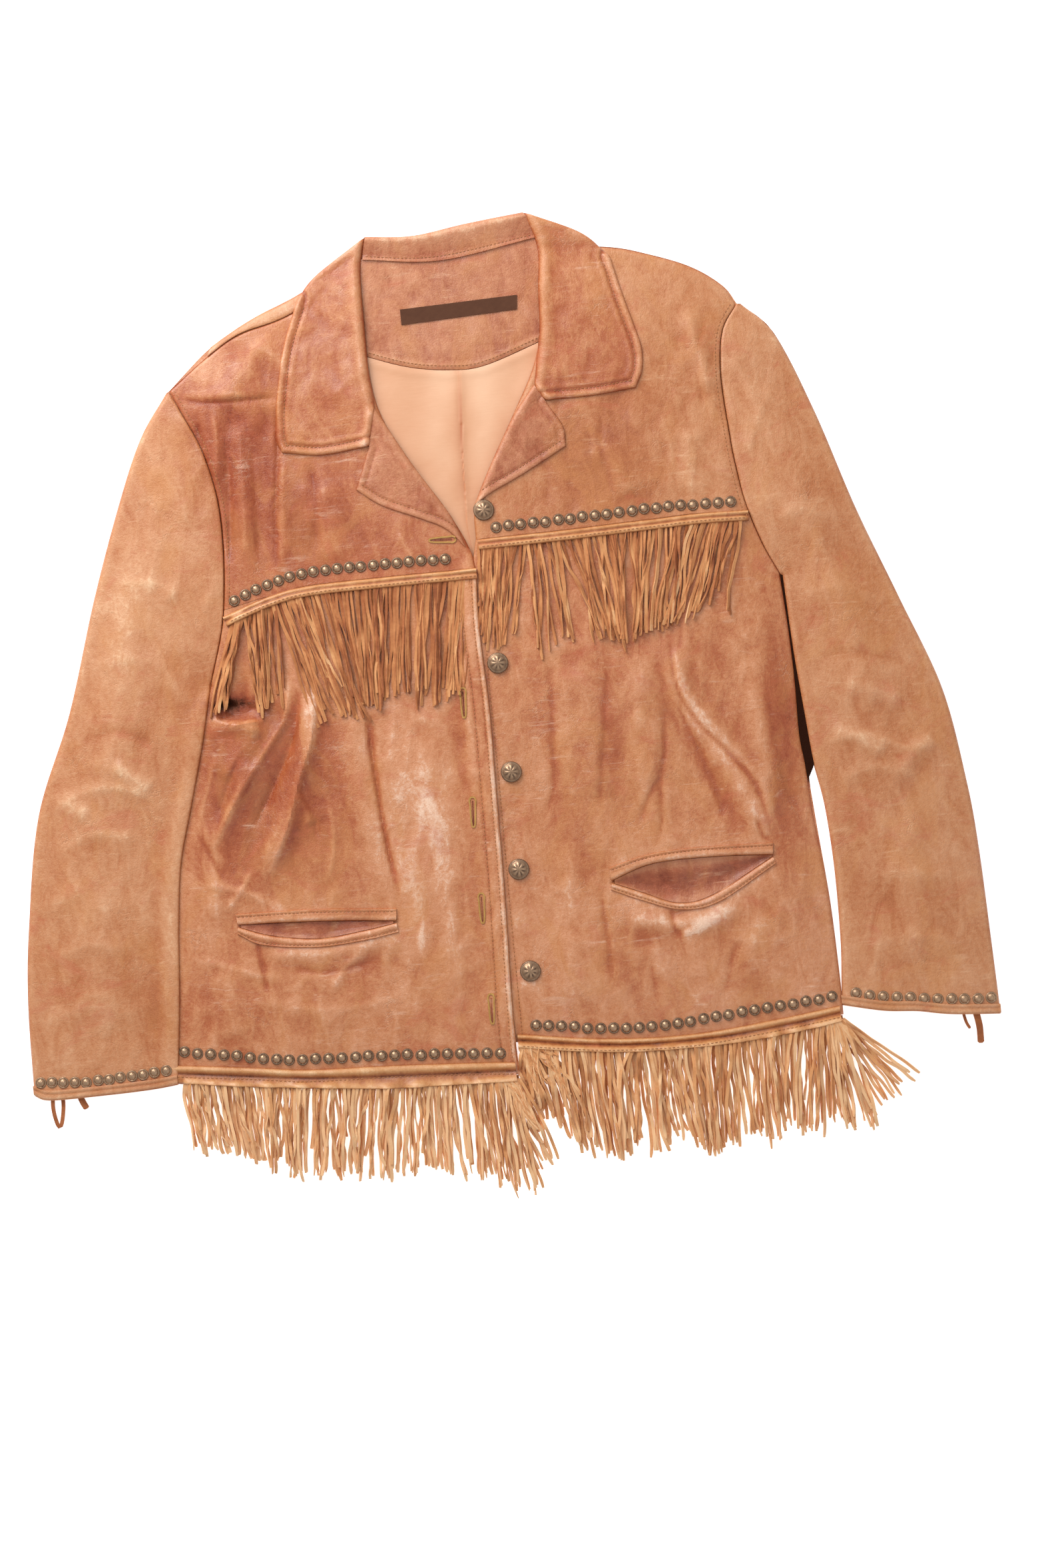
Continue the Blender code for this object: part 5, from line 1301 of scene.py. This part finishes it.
def fringe(name, root, locks, below, seed, bow, start=None, ragged=5.0, times=1.3,
           width=2.5, base=0.05):
    """All the thongs of one strip, with the strip itself."""
    chance = np.random.RandomState(seed)
    ground = below.copy()
    order = []
    for *ends, many in locks:
        first, last, tip_a, tip_b, y_a, y_b = ends
        many = round(many * times)
        for k in range(many):
            t = (k + 0.35 * chance.uniform(-1, 1)) / max(many - 1, 1)
            order.append((first + (last - first) * t, tip_a + (tip_b - tip_a) * t,
                          y_a + (y_b - y_a) * t))
    chance.shuffle(order)
    bodies = []
    t = np.linspace(0, 1, STEPS)
    for x, tip_x, tip_y in order:
        x = float(np.clip(x, root[0, 0] + 1.2, root[-1, 0] - 1.2))
        a = np.array([x, float(np.interp(x, root[:, 0], root[:, 1])) + 3.0])
        tip = np.array([tip_x + chance.normal(0, 3.0), tip_y + chance.normal(0, 0.5 * ragged)])
        if chance.uniform() < 0.3:
            tip[1] += abs(chance.normal(0, 2.2 * ragged))
        if chance.uniform() < 0.1:
            tip[0] += chance.normal(0, 8)
        across = np.array([-(tip - a)[1], (tip - a)[0]]) / np.linalg.norm(tip - a)
        sway = (bow + chance.normal(0, 1.5)) * np.sin(math.pi * t)
        for waves, size in ((2, 1.0), (3, 0.5), (7, 0.22)):
            sway += chance.normal(0, size) * np.sin(waves * math.pi * t)
        line = a + (tip - a) * t[:, None] - across * sway[:, None]
        wide = width * chance.uniform(0.85, 1.15)
        height = rested(line, ground)
        if start is not None:
            height[:4] = np.maximum(height[:4], start - 1.5 * np.array([0, 0.05, 0.12, 0.25]))
        leave_print(ground, line, height)
        # Most thongs lie on their face; a good third have dried in a twist, like a loose rope.
        twist = chance.normal(0, 0.3) + chance.normal(0, 0.8) * t ** 1.5
        if chance.uniform() < 0.42:
            begins = chance.uniform(0.0, 0.35)
            twist = twist + chance.choice([-1, 1]) * chance.uniform(5, 11) * np.clip(t - begins, 0, 1)
        on_edge = np.abs(np.sin(twist))
        height = height + 0.5 * (wide - THONG) * on_edge
        tone = chance.normal(base, 0.25) + 0.25 * (t - 0.45) - 0.3 * on_edge
        tone = np.repeat(tone + 0.15 * np.sin(t * 11 + chance.uniform(0, 6)), 4)
        bodies.append(ribbon(line, height, wide, THONG, twist, tone, chance.uniform(0.55, 1.0)))
    span = along(root, np.linspace(0.004, 0.996, 120))
    strip = np.stack([span + [0, dy] for dy in (0.0, 2.0, 4.0, 5.8)])
    top = covering(below, strip, 4) + 1.35
    if start is not None:
        top = np.maximum(top, start - 0.4)
    points, faces, _ = wall(strip, top, THONG)
    body = joined(bodies + [(points, faces, 0.0)])
    laid[name] = ground
    print(f"{name}: {len(bodies)} thongs, {len(body[1])} faces")
    piece(name + "_thongs", body, thong_leather, crisp=50)


for side, line, locks, seed, bow, how in (
        ("left", YOKE_LINE_L, CHEST_LOCKS_L, 3, 0.0, dict(times=1.15, base=0.15)),
        ("right", YOKE_LINE_R, CHEST_LOCKS_R, 4, 0.5, dict(ragged=4, base=-0.05))):
    fringe("fringe_chest_" + side, band_root(shifted(line, 0, -0.6), BAND - 1.5), locks,
           heap("front_" + side, "yoke_" + side, "sleeve_" + side), seed, bow, **how)
fringe("fringe_hem_left", resampled(ROOT_L, 60), HEM_LOCKS_L, blank(), 5, 1.0,
       start=3.4, ragged=8, times=2.0, width=2.6, base=0.8)
fringe("fringe_hem_right", resampled(ROOT_R, 60), HEM_LOCKS_R, laid["fringe_hem_left"], 6, 1.0,
       start=3.4, ragged=7, times=2.0, width=2.6, base=1.0)

# %% [markdown]
# ## Piped bands
# A folded strip covers the roots of each fringe. Its upper edge is filled like piping and
# stands up as a ridge; a row of stitches holds it lower down and draws the leather in.

# %% Yoke and hem bands
def band(name, low, high, below, lowest=0.0):
    grid = strip_between(low, high, 1.05)
    up = away(grid, low, 60)
    share = up / np.max(up, axis=0, keepdims=True)
    top = np.maximum(covering(below, grid, 16), lowest) + 1.5
    top += 1.5 * bell(share, 0.8, 0.15) + 0.5 * bell(share, 0.26, 0.2) - 0.5 * bell(share, 0.53, 0.07)
    top += 0.22 * swell(grid, 7, 95, 0, 1.5)
    top -= turned(grid, low, 1.1, 0.8) + turned(grid, high, 1.4, 1.0)
    laid[name] = stamp(grid, top)
    # Along the stitched groove the tone is painted darker: painted shade in the groove.
    tone = tone_of(grid, top, 0.0, [high], 0.2) - 0.45 * bell(share, 0.53, 0.08)
    piece(name + "_leather", wall(grid, top, STRIP), piping, tone)


for side, line in (("left", YOKE_LINE_L), ("right", YOKE_LINE_R)):
    high = resampled(line, 80)
    if side == "left":
        high = resampled(high, 80, 0.008)
    band("yoke_band_" + side, band_root(high.tolist(), BAND), high,
         heap("front_" + side, "yoke_" + side, "fringe_chest_" + side))
HEM_BAND = 4.2                  # the least height of a hem band's ground
hem_low_l, hem_high_l = (curve(e) for e in (shifted(ROOT_L[:-1], 0, 1.0) + [(272, -294)],
                                            PIPING_L[:-1] + [(272, -281)]))
hem_low_r, hem_high_r = (curve(e) for e in (shifted(ROOT_R[:-1], 0, 1.0) + [(-4, -318)],
                                            PIPING_R[:-1] + [(-4, -302)]))
band("hem_band_left", hem_low_l, hem_high_l, heap("front_left", "fringe_hem_left"), HEM_BAND)
band("hem_band_right", hem_low_r, hem_high_r,
     heap("front_right", "fringe_hem_right", "hem_band_left"), HEM_BAND)

# %% [markdown]
# ## Lapels and collar
# The lapels are the facings of the fronts, folded out along the roll line, and the collar
# leaves lie over them with their seams at the gorge. A collar's edge is two hides turned and
# stitched, so it has a raised rim with a hollow beside it. Its inner edge isn't cut: it rolls
# down into the neck.

# %% Lapels, leaves and stand
LAPEL_R = dict(gorge=[(-77, 223), (-69, 256)], roll=[(-3, 131), (-14, 160), (-42, 206), (-69, 256)],
               outer=[(-91, 189), (-77, 223)],
               lower=[(-91, 189), (-71, 174), (-40, 160), (-19, 149), (-3, 131)])
LAPEL_L = dict(gorge=[(75, 247), (66, 263)], roll=[(6, 166), (22, 197), (46, 238), (66, 263)],
               outer=[(88, 209), (87, 226), (75, 247)],
               lower=[(88, 209), (50, 189), (22, 176), (6, 166)])
LEAF_R = dict(outer=[(-150, 226), (-154, 238), (-151, 268), (-141, 313), (-125, 354)],
              inner=[(-76, 225), (-69, 257), (-71, 290), (-71, 331), (-70, 372), (-64, 400)],
              bottom=[(-150, 226), (-119, 221), (-90, 223), (-76, 225)],
              top=[(-125, 354), (-108, 372), (-64, 400)])
LEAF_L = dict(outer=[(151, 252), (158, 267), (159, 286), (154, 307), (147, 334), (140, 365)],
              inner=[(74, 249), (67, 264), (75, 308), (77, 340), (80, 378), (71, 408)],
              bottom=[(151, 252), (113, 249), (74, 249)],
              top=[(140, 365), (117, 387), (71, 408)])

for side, edges in (("right", LAPEL_R), ("left", LAPEL_L)):
    below = heap("yoke_" + side, "front_" + side)
    lines = [curve(edges[e]) for e in ("lower", "gorge", "outer", "roll")]
    grid = sided(side == "right", *lines, CELL * 0.7)
    rim = np.min([away(grid, edges[e], 40) for e in ("lower", "outer")], axis=0)
    roll = away(grid, edges["roll"], 40)
    top = relief(grid, "body_" + side) + 1.6 + 0.35 * swell(grid, 18, 97, 60, 2) + 0.2 * swell(grid, 7, 98)
    top += 1.9 * (1 - np.exp(-(rim / 18) ** 1.3)) * bell(roll, 0, 40)
    top = drape(grid, top, below)
    top += 0.4 * bell(rim, 2.4, 1.8) - 0.4 * bell(rim, 6.5, 1.2) + 0.6 * bell(roll, 5, 4)
    for edge, width, depth in (("roll", 4.0, 3.2), ("lower", 1.3, 0.9), ("outer", 1.3, 0.9)):
        top -= turned(grid, edges[edge], width, depth)
    hide("lapel_" + side, grid, top, russet, [edges["lower"], edges["roll"]], -0.05)

for side, edges, more in (("right", LEAF_R, ["back_yoke_edge"]), ("left", LEAF_L, [])):
    lines = [curve(edges[e]) for e in ("bottom", "top", "outer", "inner")]
    grid = sided(side == "right", *lines, CELL * 0.75)
    rim = np.min([away(grid, edges[e], 50) for e in ("bottom", "outer")], axis=0)
    neck = away(grid, edges["inner"], 50)
    top = relief(grid, "body_" + side) + 1.5 + 2.2 * (1 - np.exp(-(rim / 24) ** 1.3))
    top += 0.45 * swell(grid, 26, 101, 70, 2) + 0.25 * swell(grid, 9, 102, 20, 1.5)
    top = drape(grid, top, heap("yoke_" + side, "lapel_" + side, *more))
    top += 0.85 * bell(rim, 2.6, 2.2) - 0.65 * bell(rim, 7.2, 1.3) + 0.35 * bell(rim, 10.5, 2.2)
    top += 0.9 * bell(neck, 6, 5)
    for edge, width, depth in (("inner", 6.0, 4.2), ("outer", 1.6, 1.3), ("bottom", 1.6, 1.3),
                               ("top", 3.5, 2.0)):
        top -= turned(grid, edges[edge], width, depth)
    top = np.maximum(top, LEATHER + 2.0)
    hide("collar_leaf_" + side, grid, top, tan, [edges["outer"], edges["bottom"]], -0.2)

STAND_TOP = [(-63, 400.4), (-23, 397.6), (22, 403.6), (70, 408.4)]
grid = cut(shifted(NECK_SEAM, 0, 0.5), STAND_TOP, [(-67.5, 381.4), (-65.5, 392), (-63, 400.4)],
           [(79.4, 386.5), (76, 400), (70, 408.4)], CELL * 0.7)
up = away(grid, NECK_SEAM)
top = 3.9 + 4.4 * np.clip(up / 20, 0, 1) ** 1.2 + 0.3 * swell(grid, 16, 105, 0, 2)
top -= turned(grid, STAND_TOP, 4.5, 3.2) + 0.3 * bell(up, 3.0, 0.9)
top = drape(grid, top, heap("neck_facing", "collar_fall_back"), reach=2)
hide("collar_stand", grid, top, russet, [STAND_TOP], -0.1)

# %% [markdown]
# ## Studs and buttons
# A stud is stamped from thin brass: a flat rim, a sunk ring and a raised flower in the middle.
# Turning a profile gives the round parts, and a ripple around the dome gives the petals, so
# one function makes both studs and buttons. They sit on the leather with their rims pressed in.

# %% Turned metal
# Line, number, the pieces below, and how far the brass is rubbed bright
STUD_ROWS = dict(
    studs_chest_right=([(-202, 107), (-174, 117), (-138, 124), (-70, 125), (-22, 124)], 19,
                       ["yoke_right"], 0.12),
    studs_chest_left=([(23, 147), (90, 148), (160, 150), (221, 149)], 20, ["yoke_left"], 0.12),
    studs_hem_right=([(-280, -267), (-188, -282), (-109, -286), (-16, -293)], 25,
                     ["front_right", "hem_band_right"], 0.12),
    studs_hem_left=([(16, -273), (100, -283), (184, -279), (266, -273)], 24,
                    ["front_left", "hem_band_left"], 0.12),
    studs_cuff_right=([(-403, -281), (-369, -284), (-327, -283), (-297, -281)], 12,
                      ["sleeve_right"], 0.4),
    studs_cuff_left=([(287, -272), (317, -278), (357, -283), (400, -287)], 11, ["sleeve_left"], 0.4),
)
BUTTONS = [(14, 162), (13.5, 33), (16, -59), (14.5, -141), (16, -227)]
# Radius and height, from the rim to the tip
STUD = [(4.55, 0.0), (4.8, 0.25), (4.7, 0.7), (4.25, 0.98), (3.75, 0.92), (3.4, 0.75), (3.05, 1.15),
        (2.6, 1.75), (2.0, 2.15), (1.3, 2.4), (0.75, 2.5), (0.02, 2.52)]
BUTTON = [(7.4, 0.0), (8.4, 0.2), (8.75, 0.7), (8.65, 1.3), (8.1, 1.75), (7.5, 1.7), (7.1, 1.75),
          (6.6, 2.3), (5.6, 3.1), (4.4, 3.75), (3.2, 4.15), (2.2, 4.35), (1.2, 4.5), (0.02, 4.55)]
PETALS = 8


def turned_metal(x, y, z, profile, sides, depth, lean, spin):
    """Rings of a stamped dome with petals of that depth."""
    a = np.linspace(0, 2 * math.pi, sides, endpoint=False) + spin
    rings, tones = [], []
    for r, h in profile:
        flower = depth * np.cos(PETALS * a) * bell(r / profile[0][0], 0.55, 0.24)
        px, py = r * np.cos(a), r * np.sin(a)
        rings.append(np.column_stack([x + px, y + py, z + h + flower + lean * px]))
        tones.append(np.clip((h - 0.9) * 0.7, -0.4, 0.7) + flower * 1.9)
    k = np.arange(len(profile) * sides).reshape(-1, sides)
    after = np.roll(k, -1, axis=1)
    faces = np.stack([k[:-1], after[:-1], after[1:], k[1:]], -1).reshape(-1, 4)
    return np.vstack(rings), faces, np.concatenate(tones)


def around(x, y, radii, angles):
    return np.array([(x + r * math.cos(b), y + r * math.sin(b)) for r in radii for b in angles])


for name, (line, count, below, rubbed_bright) in STUD_ROWS.items():
    ground = heap(*below)
    chance = np.random.RandomState(len(name))
    bodies = []
    for x, y in resampled(line, count):
        x, y = x + chance.normal(0, 0.25), y + chance.normal(0, 0.3)
        z = float(np.median(read(ground, around(x, y, [3.6], np.linspace(0, 5.5, 8))))) + 0.1
        lean, spin = chance.normal(0, 0.015), chance.uniform(0, 1)
        bodies.append(turned_metal(x, y, z, STUD, 24, 0.14, lean, spin))
    body = joined(bodies)
    piece(name + "_brass", body, brass, body[2] + rubbed_bright, 50)
    print(f"{name}: {count} studs")

everything = heap(*[n for n in laid if not n.endswith("_plain")])
for number, (x, y) in enumerate(BUTTONS, 1):
    seat = read(everything, around(x, y, (3, 6, 8), np.linspace(0, 5.9, 12)))
    body = turned_metal(x, y, float(np.quantile(seat, 0.8)) + 0.25, BUTTON, 48, 0.26, 0.0, number)
    piece(f"button_{number}_brass", body, brass, body[2] - 0.35, 50)

# %% [markdown]
# ## Stitches and buttonholes
# Topstitching is a row of short thread humps that sink into the leather at both ends. Each is
# a small bent bead of thread; hundreds of them share one mesh. A buttonhole is a slit with a
# corded thread edge, laid here as one flat ribbon around it. The slit is a thin dark strip laid
# over the leather: painted shade in the cut.

# %% Thread
def hump(a, b, za, zb, radius, rise_mm=0.32):
    """One stitch from a to b as a bent five-sided bead."""
    t = np.array([0.0, 0.25, 0.5, 0.75, 1.0])
    mid = a + (b - a) * t[:, None]
    z = za + (zb - za) * t + rise_mm * np.sin(math.pi * t) - 0.12
    step = (b - a) / max(np.linalg.norm(b - a), 1e-6)
    side = np.array([-step[1], step[0]])
    fat = radius * np.array([0.45, 0.95, 1.0, 0.95, 0.45])
    rings = [np.column_stack([mid + side * (fat * math.cos(c))[:, None], z + fat * math.sin(c)])
             for c in 2 * math.pi * np.arange(5) / 5 + 0.3]
    k = np.arange(25).reshape(5, 5)
    after = np.roll(k, -1, axis=1)
    faces = np.stack([k[:-1], after[:-1], after[1:], k[1:]], -1).reshape(-1, 4)
    return np.stack(rings, axis=1).reshape(-1, 3), faces, 0.0


def stitched(name, lines, pitch=3.3, radius=0.34, length=2.3):
    """Rows of stitches on what the named piece left along each line."""
    bodies = []
    for line, ground in lines:
        total = run_length(line)[-1]
        starts = np.arange(1.2, total - length, pitch)
        a, b = along(line, starts / total), along(line, (starts + length) / total)
        za, zb = read(laid[ground], a), read(laid[ground], b)
        bodies += [hump(p, q, h, g, radius) for p, q, h, g in zip(a, b, za, zb)
                   if min(h, g) > 0.8 and abs(h - g) < 1.2]
    print(f"{name}: {len(bodies)} stitches")
    piece(name, joined(bodies), thread, crisp=60, nodes=[])


def inset(line, amount):
    """The line moved sideways, to its left where the amount is positive."""
    return offset(resampled(line, 140), amount)


rows = [(inset(front_edge_r, 4.5), "front_right"), (inset(front_edge_r, 13), "front_right"),
        (inset(front_edge_l, -13), "front_left")]
for side, edges, sign in (("right", LEAF_R, 1), ("left", LEAF_L, -1)):
    outline = np.vstack([curve(edges["outer"])[::-1], curve(edges["bottom"])[1:]])
    rows.append((resampled(inset(outline, 7.0 * sign), 140, 0.02, 0.97), "collar_leaf_" + side))
for side, edges, sign in (("right", LAPEL_R, 1), ("left", LAPEL_L, -1)):
    rows.append((inset(edges["lower"], 6.3 * sign), "lapel_" + side))
for side, edges in POCKETS.items():
    rows.append((inset(edges["upper"], -2.2), "pocket_welt_upper_" + side))
    rows.append((inset(edges["lower"], 2.2), "pocket_welt_lower_" + side))
rows += [(inset(shifted(NECK_SEAM, 0, 0.5), 3.0), "collar_stand"),
         (inset(FACING_ARC, 3.2), "neck_facing"),
         (inset(over_arm_l, 4.0), "yoke_left"), (inset(over_arm_r, -4.0), "yoke_right")]
stitched("topstitching", rows)
stitched("band_stitching", [
    (band_root(YOKE_LINE_L, 6.6), "yoke_band_left"), (band_root(YOKE_LINE_R, 6.6), "yoke_band_right"),
    (inset(hem_high_l, -9.2), "hem_band_left"), (inset(hem_high_r, -9.6), "hem_band_right")], 3.6, 0.38)

HOLES = [((-11, 140), (-35, 141)), ((-18, 16), (-19, -11)), ((-18.5, -76), (-20, -103)),
         ((-19, -157), (-20, -184)), ((-19, -242), (-20, -269))]
rims, slits = [], []
for a, b in np.array(HOLES, float):
    step = (b - a) / np.linalg.norm(b - a)
    side = np.array([-step[1], step[0]])
    # The outline is a keyhole: a long oval with a round eye at the end by the front edge.
    t = np.linspace(0, 2 * math.pi, 90)
    run = 0.5 - 0.5 * np.cos(t)
    half_wide = 2.5 * np.abs(np.sin(t)) ** 0.45 * (1 - 0.3 * run) + 0.7 * bell(run, 0.12, 0.1)
    ring = a + step * (1 + (np.linalg.norm(b - a) - 2) * run)[:, None]
    ring += side * (half_wide * np.sign(np.sin(t)))[:, None]
    rims.append(ribbon(ring, read(everything, ring) + 0.5, 1.3, 0.7, 0.0, 0.1, 1.0))
    line = resampled(np.array([a + step * 4, b - step * 2.5]), 12)
    # The slit strip's dark tone is painted shade in the opening.
    slits.append(ribbon(line, read(everything, line) + 0.16, 1.1, 0.5, 0.0, -1.3, 0.8))
piece("buttonhole_stitches", joined(rims), hole_thread, crisp=60, nodes=[])
piece("buttonhole_slits", joined(slits), russet, crisp=60, nodes=[])

# %% [markdown]
# ## What the cloth is
# The area is measured on the folded surface, so it counts the leather in the folds.

# %% Cut sizes
for name, (width, length, area) in cut_sizes.items():
    if area < 0.35 * width * length:
        length = max(1.25 * area / width, 0.0102)
    area = min(area, 0.999 * width * length)
